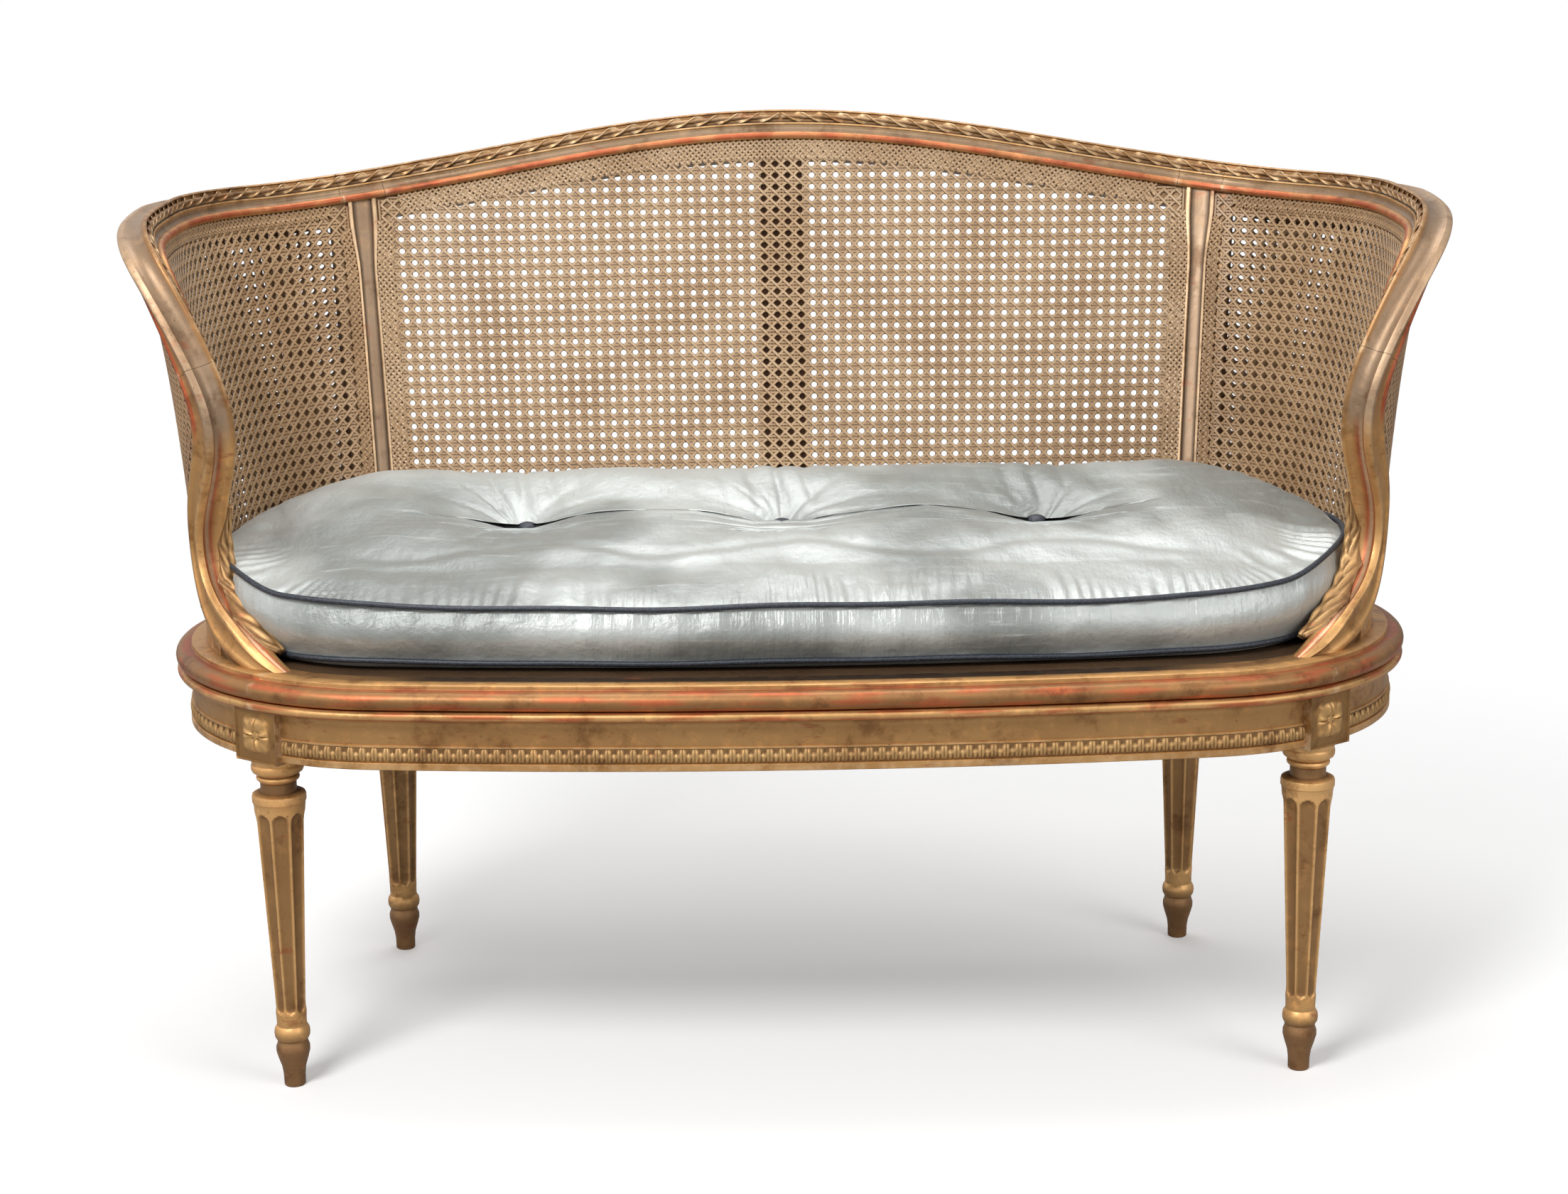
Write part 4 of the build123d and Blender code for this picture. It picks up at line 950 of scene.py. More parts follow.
# %% Four legs
def leg(node_name, angle, side):
    """Shaft and block, turned to face out from the round end and moved to their place."""
    turn = math.radians(angle)
    out = np.array([math.cos(turn), math.sin(turn), 0])
    foot = np.array([END_X, OVAL_Y, 0]) + out * LEG_R
    points, faces = joined([(shaft, closed_run(shaft)), (block, block_faces)])
    placed = foot + points @ np.stack([out, np.cross(UP, out), UP])
    tint = np.concatenate([shaft_tint.reshape(-1, 3), block_tint])
    carve(node_name + "_turned", placed, faces, tint, side, node_name, 32.0)


for place, angle in (("front", FRONT_LEG), ("rear", REAR_LEG)):
    for side, word in SIDES:
        leg(f"{place}_{word}_leg", angle, side)
print("legs made")

# %% [markdown]
# ## Stiles
#
# A stile stands on the seat rail over each rear leg and flares into the crest. Its face has two raised
# fillets with a hollow between; the section is carried up the basket, as wide as the stile at each
# height. A wider tongue behind it carries the edges of the cane.

# %% Stiles
STILE_HALF, CANE_EDGE, STILE_TOP, STILE_TONGUE = 10.6, 11.0, 824.0, 33.0
half_section = np.array([
    (-1.0, -13.0), (-1.0, 12.0), (-0.96, 14.6), (-0.76, 15.0), (-0.68, 14.2), (-0.62, 12.2), (-0.3, 11.4),
])
other_half = half_section[::-1] * (-1.0, 1.0)
stile_section = np.concatenate([half_section, other_half, [(0.8, -15.0), (-0.8, -15.0)]])
half_shade = [UMBER, UMBER, WORN, CHALK, WORN, DARK, GREY]
stile_tint = np.array(half_shade + half_shade[::-1] + [UMBER, UMBER])


def stile_flare(z):
    """How much the stile widens on each side near its top."""
    return 5.0 * ease((z - 742.0) / 60.0)


def stile_speed(z):
    """Millimetres on the basket per unit of phi, at the stile."""
    return np.linalg.norm(along_plan(STILE, z), axis=-1)


def stile(node_name, side):
    """Section across the stile, scaled by its width at each height and carried up the basket."""
    z = np.linspace(SEAT, STILE_TOP, 41)
    width = (STILE_HALF + stile_flare(z))[:, None, None]
    run, normal = unit(along_plan(STILE, z)), inward(STILE, z)
    grid = basket(STILE, z)[:, None] + run[:, None] * (stile_section[None, :, :1] * width)
    grid = grid + normal[:, None] * stile_section[None, :, 1:]
    tint = np.broadcast_to(stile_tint[None], grid.shape)
    carve(node_name + "_upright", grid, closed_run(grid), tint, side, node_name)
    phi = STILE + np.linspace(-1, 1, 7)[None, :] * (STILE_TONGUE / stile_speed(z))[:, None]
    height = np.broadcast_to(z[:, None], phi.shape)
    front, back = (on_basket(phi, height, offset)[0] for offset in (TONGUE, -TONGUE))
    board = np.concatenate([front, back[:, ::-1]], 1)
    # the stile's tongue takes the darkened tan as well: painted shade behind the edge strands
    tongue = piece(node_name + "_tongue", on_side(board, side), closed_run(board), gilt_shaded_tan)
    sharpen(tongue)
    print(node_name, "made")


for side, word in SIDES:
    stile(f"{word}_back_stile", side)

# %% [markdown]
# ## Woven cane
#
# Chair cane has six ways: two uprights and two levels between holes, and diagonals that cut the corners
# of each hole, so that it reads as a small octagon. Every strand is a thin closed strip laid on the
# basket a little above or below its neighbours, and the diagonals rise and dip at each crossing. The
# cells share one pitch, about 13 mm, along the basket. A picture of cane with clear holes would be
# lighter, but it would be flat from the side and have no thickness.

# %% Strands on a sheet
STRAND_THICK, STRAND_TOP = 0.8, 0.6
# painted shade on the two low long edges of each strip's ring, for the shadow lines between strands
EDGE_SHADE = np.array([0.22, 1.0, 1.0, 0.22])


def strands(start, heading, steps, step, sheet, inside, width, thickness, lift, wave):
    """Strips along straight lines in (column, row) space. Each line is sampled every step, samples
    outside the panel are dropped, and each unbroken run becomes a closed strip of four-point rings.
    Its height over the sheet is the lift plus a wave times the cosine of the place in the cell."""
    uv = start[:, None] + np.array(heading) * (np.arange(steps + 1) * step)[None, :, None]
    column, row = uv[..., 0], uv[..., 1]
    keep = inside(column, row)
    height = lift + wave * np.cos(2 * np.pi * (column if heading[0] else row))
    point, normal = sheet(column, row)
    ahead = unit(sheet(column + heading[0] * 0.02, row + heading[1] * 0.02)[0] - point)
    across = np.cross(ahead, normal) * width / 2
    middle = point + normal * height[..., None]
    face = normal * (thickness / 2)
    top = across * STRAND_TOP
    ring = [middle + across - face, middle + top + face, middle - top + face, middle - across - face]
    index = np.cumsum(keep.ravel()).reshape(keep.shape) - 1
    both = keep[:, :-1] & keep[:, 1:]
    a, b = index[:, :-1][both] * 4, index[:, 1:][both] * 4
    sides = [np.stack([a + i, a + (i + 1) % 4, b + (i + 1) % 4, b + i], -1) for i in range(4)]
    outside = np.zeros((len(start), 1), bool)
    before = np.concatenate([outside, keep[:, :-1]], 1)
    after = np.concatenate([keep[:, 1:], outside], 1)
    lone = keep & ~before & ~after
    first, last = index[keep & ~before & ~lone] * 4, index[keep & ~after & ~lone] * 4
    caps = [first[:, None] + np.array([3, 2, 1, 0]), last[:, None] + np.array([0, 1, 2, 3])]
    return np.stack(ring, 2)[keep].reshape(-1, 3), np.concatenate(sides + caps).tolist()


def cane_piece(name, points, faces, tone, side):
    """Strips as one piece, with painted shade along the long edges of their faces; the flat backs stay pale.
    """
    made = piece(name, on_side(points, side), faces, tone, smooth=False)
    corner = np.empty(len(made.data.loops), np.int32)
    made.data.loops.foreach_get("vertex_index", corner)
    shade = EDGE_SHADE[corner % 4].reshape(-1, 4)
    shade[shade.max(1) < 0.5] = 1.0
    write_tint(made.data, shade.reshape(-1, 1), "CORNER")
    return made


print("strand thickness", STRAND_THICK)

# %% One panel of cane
PAIR = 0.14
SQUARE_WIDTH, DIAGONAL_WIDTH = 3.2, 3.3
LEVEL_LIFT, RISING_LIFT, FALLING_LIFT = 0.6, 0.9, 1.5


def starts(columns, rows):
    """Columns and rows where a set of lines starts, as pairs."""
    columns, rows = np.broadcast_arrays(np.asarray(columns, float), np.asarray(rows, float))
    return np.stack([columns.ravel(), rows.ravel()], -1)


def weave(name, sheet, inside, columns, rows, finish, side=1, wave=0.35, step=0.5, front=1.0, broad=1.0):
    """Uprights and levels in pairs on the cells' lines, and both diagonals through the cells' corners,
    as two pieces. A front below 0 turns the strips' faces away from the sitter."""
    (left, right), (foot, head) = columns, rows
    tall, wide = head - foot, right - left
    up_steps, level_steps = int(tall / step), int(wide / step)
    pair = np.array([[-PAIR], [PAIR]])
    upright = starts(np.arange(left, right + 1) + pair, foot)
    level = starts(left, np.arange(foot, head + 1) + pair)
    rising = starts(np.arange(left - tall, right + 1) + 0.5, foot)
    falling = starts(np.arange(left, right + tall + 1) + 0.5, foot)
    square = (
        (upright, (0.0, 1.0), up_steps, 0.0, 0.0),
        (level, (1.0, 0.0), level_steps, LEVEL_LIFT * front, wave * 0.5),
    )
    diagonal = (
        (rising, (1.0, 1.0), up_steps, RISING_LIFT * front, wave),
        (falling, (-1.0, 1.0), up_steps, FALLING_LIFT * front, -wave),
    )
    thickness = math.copysign(STRAND_THICK, front)
    parts = (("square", square, SQUARE_WIDTH), ("diagonal", diagonal, DIAGONAL_WIDTH))
    for (part, sets, width), tone in zip(parts, finish):
        shells = [
            strands(start, heading, steps, step, sheet, inside, width * broad, thickness, lift, amount)
            for start, heading, steps, lift, amount in sets
        ]
        cane_piece(f"{name}_{part}", *joined(shells), tone, side)
    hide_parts(name)


print("strand widths", SQUARE_WIDTH, DIAGONAL_WIDTH)

# %% Places on the basket in whole cells
PITCH, ROW_SHARE, HALF_WAY_UP, PHI_FRONT = 13.0, 0.945, 640.0, 3.05
ROW_RISE = PITCH * ROW_SHARE
BACK_FOOT, SIDE_FOOT = SEAT + 12, SEAT + 24
phi_fine = np.linspace(0, PHI_FRONT, 1200)
arc_fine = arc_length(basket(phi_fine, HALF_WAY_UP))
top_s = np.linspace(0, PATH_END, 900)
edge_phi, edge_z = beside_frame(top_s, HALF_H + 0.6)
# the edge runs forward along the arm to its foremost place and then down the support
foremost = int(np.argmax(np.where(top_s < SPAN + 9 * ARM_STEP, edge_phi, 0)))
by_height = foremost + np.argsort(edge_z[foremost:])


def cell_place(column, row, shift=0.0):
    """phi and height of a place in cells: arc length over the pitch, and height over the rise of a row."""
    along = (column + shift) * PITCH
    phi = np.sign(along) * np.interp(np.abs(along), arc_fine, phi_fine)
    return phi, SEAT + (row + 0.5 + shift) * ROW_RISE


def basket_sheet(offset, shift=0.0):
    """Sheet of cells on the basket at an offset towards the sitter, moved by a share of a cell."""
    def sheet(column, row):
        return on_basket(*cell_place(column, row, shift), offset)
    return sheet


def inside_basket(low_z, on_back):
    """True above a height, within the moulded frame, and between the stiles or beyond the right one."""
    def inside(column, row):
        phi, z = cell_place(column, row)
        gap = (CANE_EDGE + stile_flare(z)) / stile_speed(z)
        on_panel = np.abs(phi) < STILE - gap if on_back else (phi > STILE + gap) & (phi < PHI_FRONT)
        below = z < np.interp(np.abs(phi), edge_phi[:foremost + 1], edge_z[:foremost + 1])
        behind = np.abs(phi) < np.interp(z, edge_z[by_height], edge_phi[by_height])
        return on_panel & (z > low_z) & below & behind
    return inside


print("cells along half the basket", round(arc_fine[-1] / PITCH, 1))

# %% Back and sides
INNER_CANE, OUTER_CANE, OUTER_SHIFT = 10.2, -10.6, 0.45
BACK_ROWS, SIDE_ROWS = (0, 38), (0, 34)
cells_back = int(arc_fine[np.searchsorted(phi_fine, STILE)] / PITCH) + 1
cells_side = int(arc_fine[-1] / PITCH) + 1
back_columns, side_columns = (-cells_back, cells_back), (cells_back - 2, cells_side)
inner_sheet, outer_sheet = basket_sheet(INNER_CANE), basket_sheet(OUTER_CANE, OUTER_SHIFT)
back_panel, side_panel = inside_basket(BACK_FOOT, True), inside_basket(SIDE_FOOT, False)
outside_look = {"step": 1.0, "front": -1.0, "broad": 1.2}
# the back's squares take the painted-shade copy of the cane, its diagonals the lit one
weave("back_cane", inner_sheet, back_panel, back_columns, BACK_ROWS, (shaded_cane, cane))
for side, word in SIDES:
    # the sides and the outer layer take painted-shade copies of the cane
    inner, outer = (sides_shaded_rattan, shaded_cane), (outer_cane, outer_cane)
    weave(f"{word}_inner_cane", inner_sheet, side_panel, side_columns, SIDE_ROWS, inner, side)
    weave(f"{word}_outer_cane", outer_sheet, side_panel, side_columns, SIDE_ROWS, outer, side, **outside_look)

# %% [markdown]
# ## Edge of the cane
#
# Where the cane meets the wood the weaver lays a close criss-cross, so no hole shows. It uses the same
# strips in another pair of coordinates: the way along the edge and the way in from it.

# %% Close criss-cross along the edges
EDGE_STEP, EDGE_LIFT, EDGE_WAVE, EDGE_SAMPLE = 6.6, 1.9, 0.6, 0.25


def close_edge(name, sheet, count, depth, side, finish):
    """Two sets of slanted strips a step apart, one each way, from the edge to a depth of some steps."""
    start = starts(np.arange(0, count, 1.0), 0)
    steps = int(depth / EDGE_SAMPLE)

    def inside(along, _):
        return (along >= 0) & (along <= count - 1)

    for (word, lean), tone in zip((("rising", 1.0), ("falling", -1.0)), finish):
        way = (start, (lean, 1.0), steps, EDGE_SAMPLE, sheet, inside)
        strips = strands(*way, DIAGONAL_WIDTH, STRAND_THICK, EDGE_LIFT, lean * EDGE_WAVE)
        cane_piece(f"{name}_{word}", *strips, tone, side)
    print(name, "strips", 2 * len(start))


def crest_edge(start, end):
    """Sheet along the moulded frame: steps along the line, and steps in from its edge; and its length."""
    fine = np.linspace(start, end, 700)
    length = arc_length(basket(*frame_line(fine)))

    def sheet(e, d):
        place = beside_frame(np.interp(e * EDGE_STEP, length, fine), HALF_H + 0.5 + d * EDGE_STEP)
        return on_basket(*place, INNER_CANE)
    return sheet, int(length[-1] / EDGE_STEP)


def stile_edge(way):
    """Sheet along one edge of the right stile: steps up from the seat, and steps away from the stile."""
    def sheet(e, d):
        z = SEAT + 20 + e * EDGE_STEP
        away = CANE_EDGE + stile_flare(z) + d * EDGE_STEP
        return on_basket(STILE + way * away / stile_speed(z), z, INNER_CANE)
    return sheet


crest_sheet, crest_steps = crest_edge(-HEAD_START + 0.04, HEAD_START - 0.04)
arm_sheet, arm_steps = crest_edge(HEAD_END + 0.04, SPAN + 4.0 * ARM_STEP)
# the edges on the sides keep the painted-shade copies of the cane
on_back, on_sides = (cane, cane), (sides_shaded_rattan, shaded_cane)
close_edge("back_cane_top_edge", crest_sheet, crest_steps, 3.25, 1, on_back)
for side, word in SIDES:
    close_edge(f"{word}_cane_top_edge", arm_sheet, arm_steps, 2.0, side, on_sides)
    close_edge(f"{word}_back_cane_side_edge", stile_edge(-1), 55, 3.0, side, on_back)
    close_edge(f"{word}_cane_stile_edge", stile_edge(1), 54, 2.0, side, on_sides)

# %% [markdown]
# ## Seat cane
#
# The seat is caned too, in a rebate inside the rails. The cushion covers nearly all of it, so its
# strands are sampled coarsely, and a flat ring stands for the close weave along its edge. Strands and
# ring are painted near-black, as the shadow under the cushion.

# %% Seat cane
SEAT_CANE_Z, SEAT_CANE_R, REBATE, BORDER = 420.4, 198.0, 35.0, 92.0
BORDER_LOW, BORDER_HIGH = 420.6, 421.8


def oval_ring(inset, count=900):
    """Closed oval drawn inside the seat's frieze line by an inset, evenly spread, from the front middle."""
    r, front_r = END_R - inset, FRONT_R - inset
    turn = np.radians(np.linspace(-90 + FRONT_HALF, 90, 300))
    half_front = np.radians(np.linspace(-90, -90 + FRONT_HALF, 120, endpoint=False))
    front = np.stack([front_r * np.cos(half_front), FRONT_Y + front_r * np.sin(half_front)], -1)
    end = np.stack([END_X + r * np.cos(turn), OVAL_Y + r * np.sin(turn)], -1)
    back = np.stack([np.linspace(END_X, 0, 120)[1:], np.full(119, OVAL_Y + r)], -1)
    right = np.concatenate([front, end, back])
    line = np.concatenate([right, right[-2:0:-1] * np.array([-1.0, 1.0]), right[:1]])
    length = arc_length(line)
    return interp_rows(np.linspace(0, length[-1], count, endpoint=False), length, line)


def seat_sheet(column, row):
    """Flat sheet of cells at the seat's height."""
    point = np.stack([column * PITCH, OVAL_Y + row * PITCH, 0 * column + SEAT_CANE_Z], -1)
    return point, np.broadcast_to(UP, point.shape)


def inside_seat(column, row):
    """True inside the rebate: behind the front's arc and before the back, or within a round end."""
    x, y = np.abs(column * PITCH), row * PITCH
    past = np.maximum(x - END_X, 0)
    front = front_drop - np.sqrt(np.maximum((FRONT_R - REBATE) ** 2 - x**2, 0))
    middle = (y < SEAT_CANE_R) & (y > front) & (x <= END_X)
    return middle | ((past > 0) & (np.hypot(past, y) < SEAT_CANE_R))


def seat_border():
    """Flat ring between two ovals, painted near-black as the cushion's shadow that falls there."""
    corners = ((REBATE, BORDER_LOW), (REBATE, BORDER_HIGH), (BORDER, BORDER_HIGH), (BORDER, BORDER_LOW))
    grid = np.stack([np.column_stack([oval_ring(inset, 300), np.full(300, z)]) for inset, z in corners])
    faces = grid_faces(4, 300, True, True)
    made = piece("seat_cane_border", grid, faces, painted_shadow_cane, tint=np.ones(grid.shape))
    sharpen(made)


seat_look = {"wave": 0.2, "step": 1.0, "front": 0.6}
# the seat cane is near-black: painted shadow under the cushion
weave("seat_cane", seat_sheet, inside_seat, (-45, 45), (-18, 16), (painted_shadow_cane, painted_shadow_cane), **seat_look)
seat_border()

# %% [markdown]
# ## Squab cushion
#
# The loose cushion is a boxed oval of slubbed silk: a band between two piped seams, a plump crown and
# three buttons drawn deep into it. The form is worked out on rings from the middle of the underside,
# round the band and up to the middle of the crown; the tufts, the creases that run from them and the
# gathers above the front seam are heights added on top. A cloth simulation could find the folds by
# itself, but these follow the picture.

# %% Seams and crown
TUFT_X, TUFT_Y = 258.0, OVAL_Y + 12
TUFTS = ((-TUFT_X, TUFT_Y), (0.0, TUFT_Y), (TUFT_X, TUFT_Y))
RIM = END_R - 178.0
ASIDE, SWELL = -7.0, 0.023
BOX_LOW, BOX_TALL = 431.0, 53.0
SEAM_Z, CROWN_Z, CROWN_TILT, CROWN_SINK = 485.0, 540.0, 27.0, 2.0


def spread(x, z):
    """The cushion lies a little to the left and swells towards the cane above its lower seam."""
    return x * (1 + SWELL * ease((z - 428.0) / 50.0)) + ASIDE


def seam_lift(x, y):
    """The upper seam eases up towards the back and the round ends, where the cane pushes it."""
    ends = 9.0 * ease((np.abs(x) - 340) / 210) + 20.0 * ease((np.abs(x) - 470) / 85)
    return np.maximum(16.0 * ease((y - OVAL_Y + 90) / 160), ends)


def tuft_depth(x, y, button):
    """Pull of one button: two bells, rays about it, a crease along the settee and pleats behind it."""
    dx, dy = x - button[0], y - button[1]
    r, turn = np.hypot(dx, dy * 1.1), np.arctan2(dy, dx)
    rays = np.cos(6.5 * turn + 1.1 * np.sin(3 * turn + button[0])) ** 10
    crease = bell(dy + 5 * np.sin(dx / 34.0), 11.0) * bell(dx, 95.0)
    pleats = np.cos(dx / 9.0 + 0.6 * np.sin(y / 20.0)) ** 6 * bell(dx, 60.0) * ease((dy - 8) / 30.0)
    cone = 9.0 * bell(r, 26.0) + 13.0 * bell(r, 78.0)
    return cone + 2.6 * rays * bell(r, 66.0) * ease(r / 12.0) + 1.5 * crease + 2.2 * pleats


def crown_height(x, y, share):
    """Crown of the cushion at a share of the way from the seam (0) to the middle (1): a round shoulder,
    three tufts, low lumps, creases that swing between the tufts, and one fold in front of them."""
    behind = (y - OVAL_Y) / 110.0
    full = CROWN_Z + CROWN_TILT * np.clip(behind, -1, 1)
    bend = 2.2 + 1.8 * ease(behind + 0.4)
    height = SEAM_Z + (full - SEAM_Z) * (1 - (1 - np.clip(share, 0, 1)) ** bend) ** 0.85
    for button in TUFTS:
        height = height - tuft_depth(x, y, button)
    lumps = np.sin(x / 31.0 + 1.3 * np.sin(y / 27.0)) * np.sin(y / 24.0 + 0.9 * np.sin(x / 43.0))
    ripple = np.sin(x / 13.0 + y / 17.0 + 2 * np.sin(x / 59.0))
    height = height + 1.7 * lumps * ease(share * 4) + 0.45 * ripple * ease(share * 3)
    for sway in (-26.0, 24.0):
        line = TUFT_Y + sway * np.abs(np.sin(np.pi * x / TUFT_X)) + 4 * np.sin(x / 47.0)
        depth = 1.3 * (0.4 + 0.6 * np.sin(x / 43.0 + sway) ** 2) * ease((300 - np.abs(x)) / 40.0)
        height = height - depth * bell(y - line, 10.0)
    line = OVAL_Y - 74 + 14 * np.cos(2 * np.pi * x / TUFT_X) + 5 * np.sin(x / 39.0)
    fold = 1.5 * bell(y - line + 16, 12.0) - 1.8 * bell(y - line, 9.0)
    return height + fold * ease((450 - np.abs(x)) / 80.0)


def gathers(x, y, share):
    """Short pleats square to the seam: a sine whose phase wanders along it, fading into the crown."""
    corner_x = np.sign(x) * END_X
    round_end = corner_x + 180 * np.arctan2(x - corner_x, np.abs(y - OVAL_Y) + 1e-6)
    along = np.where(np.abs(x) < END_X, x, round_end)
    phase = along / 15.0 + 1.5 * np.sin(along / 61.0) + 0.7 * np.sin(along / 23.0)
    phase = phase + 0.9 * share * np.sin(along / 31.0)
    reach = 0.34 + 0.20 * np.sin(along / 53.0 + 2.0) * np.sin(along / 29.0)
    strength = ease(share / 0.03) * ease((reach - share) / 0.22)
    strength = strength * (0.35 + 0.65 * np.sin(along / 83.0 + 1.0) ** 2)
    return 1.7 * np.sin(2 * np.pi * phase) * strength


print("crown's middle", round(float(crown_height(0.0, OVAL_Y, 1.0)), 1))

# %% Rings of the cover
UNDER_Z, UNDER_RISE = 422.4, 7.6
CROWN_REACH = 170.0


def underside_rings():
    """Flat ovals that grow towards the lower seam and curl up to it by a power of the share."""
    insets = np.concatenate([np.linspace(150, 16, 8), np.linspace(12, 0, 5), [0.4]])
    curl = UNDER_Z + UNDER_RISE * np.linspace(0, 1, 5) ** 1.6
    rings = []
    for inset, z in zip(insets, np.concatenate([np.full(8, UNDER_Z), curl, [BOX_LOW]])):
        x, y = oval_ring(RIM + inset).T
        rings.append(np.column_stack([spread(x, z), y, np.full(len(x), z)]))
    return rings


def band_rings():
    """Band that bulges by a sine of its height, nips in at both seams, and puckers towards the upper."""
    rings = []
    for share in np.linspace(0.04, 0.96, 14):
        z = BOX_LOW + BOX_TALL * share
        x, y = oval_ring(RIM + 1.2 * np.cos(2 * np.pi * share) - 9.4 * np.sin(np.pi * share)).T
        pucker = 1.4 * np.sin(x / 5.2 + 2.0 * np.sin(x / 37.0)) * np.sin(x / 71.0) * (z - 440.0) / BOX_TALL
        rings.append(np.column_stack([spread(x, z), y - pucker, z + seam_lift(x, y) * share]))
    return rings


def crown_rings():
    """Ovals from the upper seam inwards, closer near the seam, at the height of crown and gathers."""
    rings = []
    for share in np.linspace(0.0, 1.0, 52) ** 1.15:
        x, y = oval_ring(RIM + CROWN_REACH * share).T
        lift = seam_lift(x, y) * (1 - share) ** 2
        z = crown_height(x, y, share) + gathers(x, y, share) + lift - CROWN_SINK
        rings.append(np.column_stack([spread(x, z), y, z]))
    return rings


print("crown rings reach", CROWN_REACH)

# %% Cushion cover
ACROSS = 12


def cushion_cover():
    """Rings joined by quads; strips across the smallest oval close the underside, and a finer sheet
    across the last oval carries the crown's height."""
    grid = np.stack(underside_rings() + band_rings() + crown_rings())
    count, n = grid.shape[:2]
    half, last = n // 2, (count - 1) * n
    faces = grid_faces(count, n)
    faces += [[i, i + 1, (n - i - 1) % n, (n - i) % n] for i in range(1, half - 1)]
    faces += [[0, 1, n - 1], [half - 1, half, half + 1]]
    front, back = grid[-1, 1:half], grid[-1, :half:-1]
    share = np.linspace(0, 1, ACROSS + 2)[None, 1:-1, None]
    middle = front[:, None] * (1 - share) + back[:, None] * share
    x, y = middle[..., 0], middle[..., 1]
    middle[..., 2] = crown_height((x - ASIDE) / (1 + SWELL), y, 1.0) - CROWN_SINK
    points = np.concatenate([grid.reshape(-1, 3), middle.reshape(-1, 3)])
    rows = np.arange(half - 1)[:, None]
    inner = count * n + rows * ACROSS + np.arange(ACROSS)[None, :]
    sheet = np.concatenate([last + 1 + rows, inner, last + n - 1 - rows], 1)
    quads = np.stack([sheet[:-1, :-1], sheet[1:, :-1], sheet[1:, 1:], sheet[:-1, 1:]], -1)
    faces += quads.reshape(-1, 4).tolist()
    faces += [[last] + sheet[0].tolist(), [last + half] + sheet[-1].tolist()]
    made = piece("cushion_cover", points, faces, silk_cover, body="cushion")
    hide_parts("seat_cushion")
    print("cushion points", grid.shape)


cushion_cover()

# %% Piping
CORD_R, CORD_OUT = 2.75, 2.6


def piping(name, z, wave):
    """Tube round the seam whose height wanders by three sines, as a hand-sewn cord does."""
    x, y = oval_ring(RIM - CORD_OUT, 700).T
    lift = seam_lift(x, y) * (z - BOX_LOW) / BOX_TALL
    wander = wave * (np.sin(x / 74.0 + 0.6) + 0.6 * np.sin(x / 31.0 + 2.0) + 0.5 * np.sin(y / 47.0))
    center = np.column_stack([spread(x, z), y, z + lift + wander])
    ahead = unit(np.roll(center, -1, 0) - np.roll(center, 1, 0))
    out = unit(np.cross(ahead, UP))
    grid = tube(center, out, np.cross(out, ahead), CORD_R, 12)
    made = piece(name + "_cord", grid, grid_faces(*grid.shape[:2], True, True), slate, body="cushion")
    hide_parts(name)
    print(name, "length", round(arc_length(center)[-1]))


piping("top_piping", 484.0, 1.4)
piping("bottom_piping", 430.6, 0.8)

# %% Buttons
BUTTON_Z, ROUND = 521.0, 40
# radius and height of the dome, from its middle out and under
button_r = np.array([0.0, 3.0, 6.0, 8.4, 9.8, 10.0, 9.2])
button_z = np.array([4.6, 4.4, 3.6, 2.2, 0.4, -1.0, -2.6])


def buttons():
    """Three domed discs whose rim is gathered by a small cosine, one in each tuft."""
    turn = np.linspace(0, 2 * np.pi, ROUND, endpoint=False)
    r, z = button_r[1:, None], button_z[1:, None]
    r = r * (1 + 0.03 * np.cos(20 * turn)[None, :] * ease((r - 5) / 4))
    disc = np.stack([r * np.cos(turn), r * np.sin(turn), np.broadcast_to(z, r.shape)], -1)
    button = np.concatenate([disc.reshape(-1, 3), [(0.0, 0.0, button_z[0])]])
    rings, top = len(disc), disc.size // 3
    faces = grid_faces(rings, ROUND)
    faces += [[top, k, (k + 1) % ROUND] for k in range(ROUND)]
    faces.append(list(range((rings - 1) * ROUND, rings * ROUND)))
    shells = [(button + np.array([x + ASIDE, y, BUTTON_Z]), faces) for x, y in TUFTS]
    made = piece("covered_buttons", *joined(shells), slate, body="cushion")
    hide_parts("tuft_buttons")
    print("buttons", len(shells))


buttons()

# %% [markdown]
# ## Solids that stay
#
# The boards under the cane, the post behind it, the brace, the pegs and the dowels are plain joinery, so
# their solids stay and only get a finish.

# %% Finishes of the solids
# the post takes the near-black timber, painted as the shadow it lies in behind the cane
finishes = {"bottom_rail": gilt_plain, "post": post_timber_painted_shadow, "brace": timber, "pegs": timber, "dowels": timber}
shown = {name: solid for name, solid in nodes.items() if not solid.hide_render}
for name, solid in shown.items():
    for word, finish in finishes.items():
        if word in name:
            solid.data.materials.clear()
            solid.data.materials.append(finish)
print("shown solids", list(shown))

# %% [markdown]
# ## Floor, light and camera
#
# The photograph is a catalogue cut-out: white all round and soft light from above and in front. The
# camera sees the floor as white, with a soft shadow near the settee; other rays meet a plain grey
# floor. Gilding shows what it mirrors, so glossy rays see a sky that is brighter on the left and above,
# like a tall window. The camera stands where a fit of its lens to the measured settee puts it.

# %% Floor
FLOOR_GREY, FLOOR_GLOW = 0.55, 0.20
SHADOW_FROM, SHADOW_TO = 0.75, 1.7


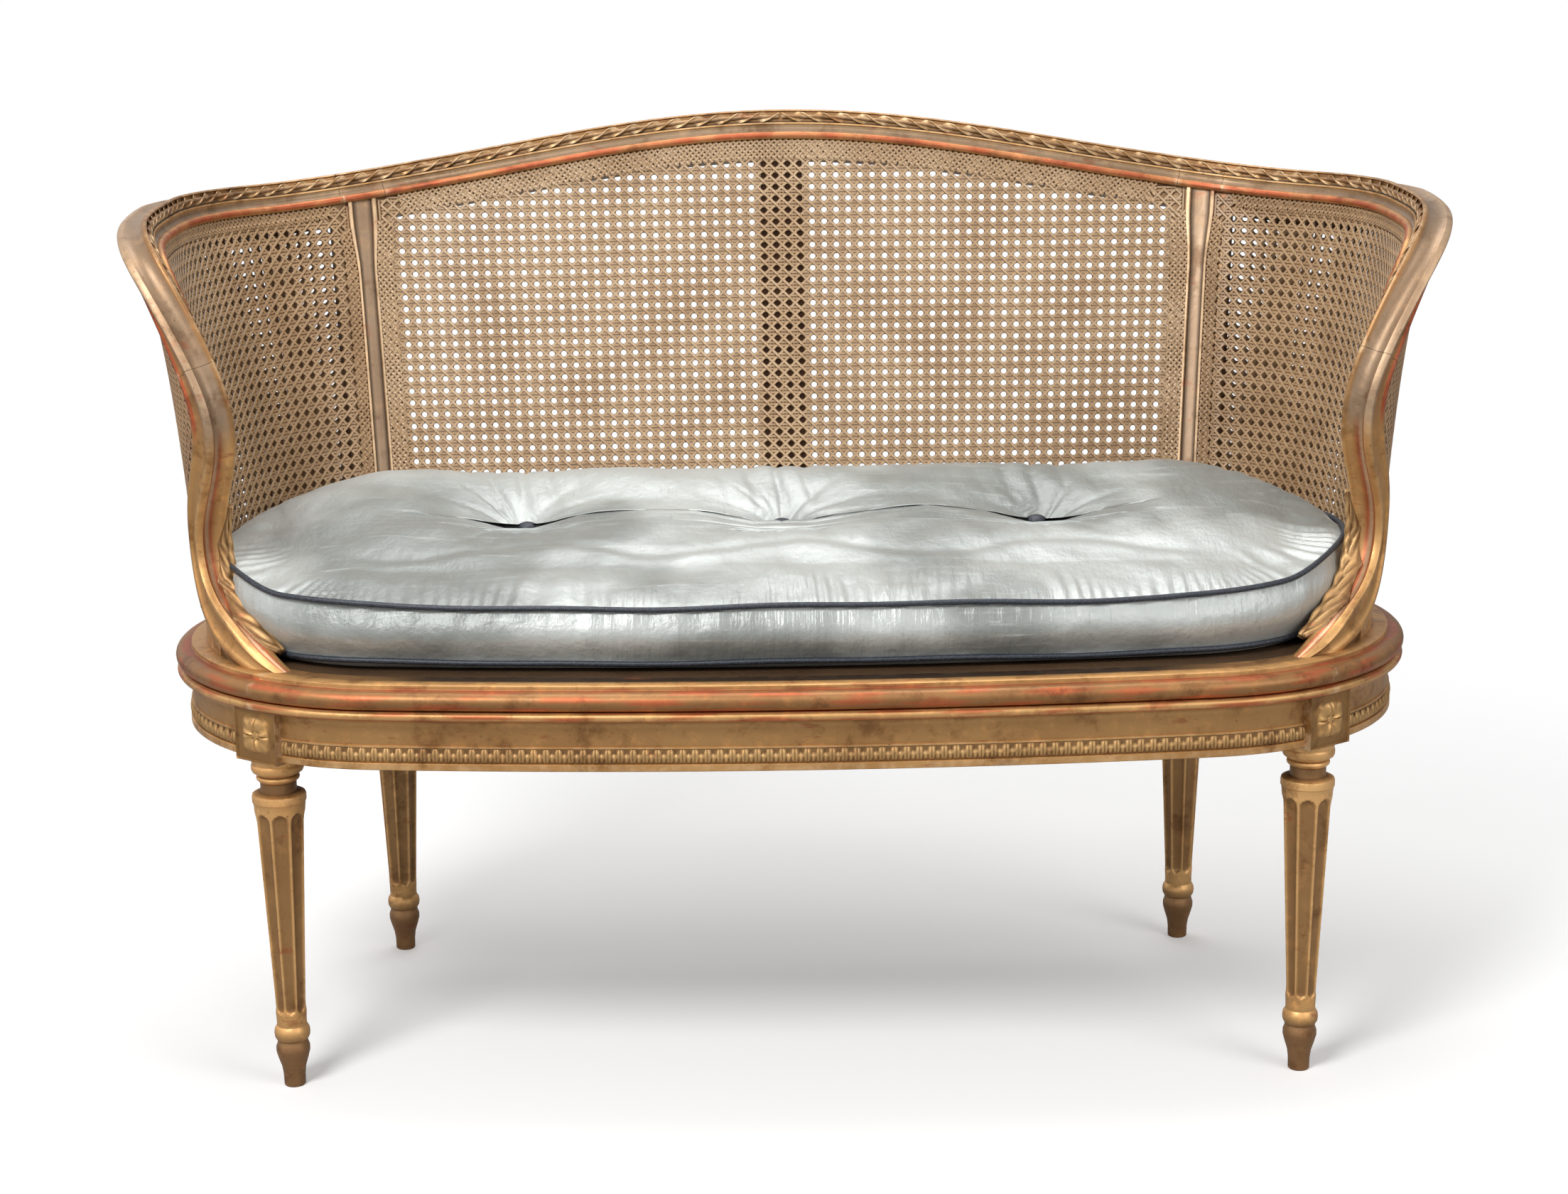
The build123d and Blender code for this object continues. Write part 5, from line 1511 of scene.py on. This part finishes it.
def white_floor():
    """Emission seen by the camera far out, diffuse white with a little glow near the settee."""
    mesh = bpy.data.meshes.new("studio_floor")
    mesh.from_pydata([(-9, -7, 0), (9, -7, 0), (9, 11, 0), (-9, 11, 0)], [], [(0, 1, 2, 3)])
    floor = bpy.data.objects.new("studio_floor", mesh)
    bpy.context.scene.collection.objects.link(floor)
    white = Finish("studio_white")
    grey = (FLOOR_GREY, FLOOR_GREY, FLOOR_GREY, 1)
    feed(white.tree, white.shader, {"Base Color": grey, "Roughness": 0.9, "Specular IOR Level": 0.0})
    away = white.node("VectorMath", {0: white.place}, operation="LENGTH").outputs["Value"]
    glow = white.node("Emission", {"Strength": 1.0}).outputs[0]
    little = white.node("Emission", {"Strength": FLOOR_GLOW}).outputs[0]
    matt = white.node("BsdfDiffuse", {"Color": (1, 1, 1, 1)}).outputs[0]
    near = white.node("AddShader", {0: matt, 1: little}).outputs[0]
    far = white.band(away, SHADOW_FROM, SHADOW_TO)
    seen = white.node("MixShader", {0: far, 1: near, 2: glow}).outputs[0]
    camera_ray = white.node("LightPath").outputs["Is Camera Ray"]
    whole = white.node("MixShader", {0: camera_ray, 1: white.shader.outputs[0], 2: seen})
    feed(white.tree, white.tree.nodes["Material Output"], {"Surface": whole.outputs[0]})
    mesh.materials.append(white.material)


white_floor()
print("floor made")

# %% World
SKY, WINDOW_WAY = 0.30, (-0.50, -0.35, 0.79)
WINDOW_DARK, WINDOW_BRIGHT = 0.35, 1.45


def white_world():
    """White for the camera, dim for diffuse rays, and a window for glossy rays: brightness grows with
    the dot product of the ray and the window's way."""
    world = bpy.data.worlds.new("studio")
    bpy.context.scene.world = world
    world.use_nodes = True
    tree = world.node_tree
    rays = node(tree, "LightPath").outputs
    way = node(tree, "TexCoord").outputs["Generated"]
    facing = node(tree, "VectorMath", {0: way, 1: WINDOW_WAY}, operation="DOT_PRODUCT").outputs["Value"]
    span = {"From Min": -0.5, "From Max": 0.9, "To Min": WINDOW_DARK, "To Max": WINDOW_BRIGHT}
    window = node(tree, "MapRange", {"Value": facing, **span}).outputs[0]
    shiny = {"Value": rays["Is Glossy Ray"], "To Min": SKY, "To Max": window}
    shiny = node(tree, "MapRange", shiny).outputs[0]
    straight = {0: rays["Is Camera Ray"], 1: rays["Is Transmission Ray"]}
    straight = node(tree, "Math", straight, operation="MAXIMUM").outputs[0]
    strength = node(tree, "MapRange", {"Value": straight, "To Min": shiny, "To Max": 1.0}).outputs[0]
    feed(tree, tree.nodes["Background"], {"Color": (1, 1, 1, 1), "Strength": strength})


white_world()
print("world made")


# %% Lamps
def lamp(name, place, target, size, power):
    """Round area lamp turned from its place to a target."""
    light = bpy.data.lights.new(name, "AREA")
    light.shape, light.size, light.energy = "DISK", size, power
    made = bpy.data.objects.new(name, light)
    made.location = place
    made.rotation_euler = (Vector(target) - Vector(place)).to_track_quat("-Z", "Y").to_euler()
    bpy.context.scene.collection.objects.link(made)


lamp("key", (-1.5, -2.4, 3.0), (0, 0, 0.5), 1.4, 88)
lamp("fill", (2.4, -2.2, 2.0), (0, 0, 0.5), 2.0, 30)
lamp("top", (0.0, 0.5, 3.0), (0, 0, 0.4), 1.8, 34)
print("lamps", len(bpy.data.lights))

# %% Camera
EYE = (-0.0311, -2.8091, 1.0957)
FOCAL_PIXELS, PICTURE_PIXELS, SENSOR = 3910.8, 2207, 36.0
yaw, pitch, roll = math.radians(0.524), math.radians(13.30), math.radians(-0.721)
forward = Vector((math.sin(yaw) * math.cos(pitch), math.cos(yaw) * math.cos(pitch), -math.sin(pitch)))
level_right = Vector((math.cos(yaw), -math.sin(yaw), 0))
level_up = level_right.cross(forward)
right = math.cos(roll) * level_right + math.sin(roll) * level_up
up = -math.sin(roll) * level_right + math.cos(roll) * level_up
lens = bpy.data.cameras.new("catalogue_camera")
lens.sensor_fit, lens.sensor_width = "HORIZONTAL", SENSOR
lens.lens = FOCAL_PIXELS / PICTURE_PIXELS * SENSOR
camera = bpy.data.objects.new("catalogue_camera", lens)
rows = [(right[k], up[k], -forward[k], EYE[k]) for k in range(3)]
camera.matrix_world = Matrix((*rows, (0, 0, 0, 1)))
bpy.context.scene.collection.objects.link(camera)
bpy.context.scene.camera = camera
bpy.context.scene.view_settings.view_transform = "Standard"
print("lens", round(lens.lens, 2), "mm")
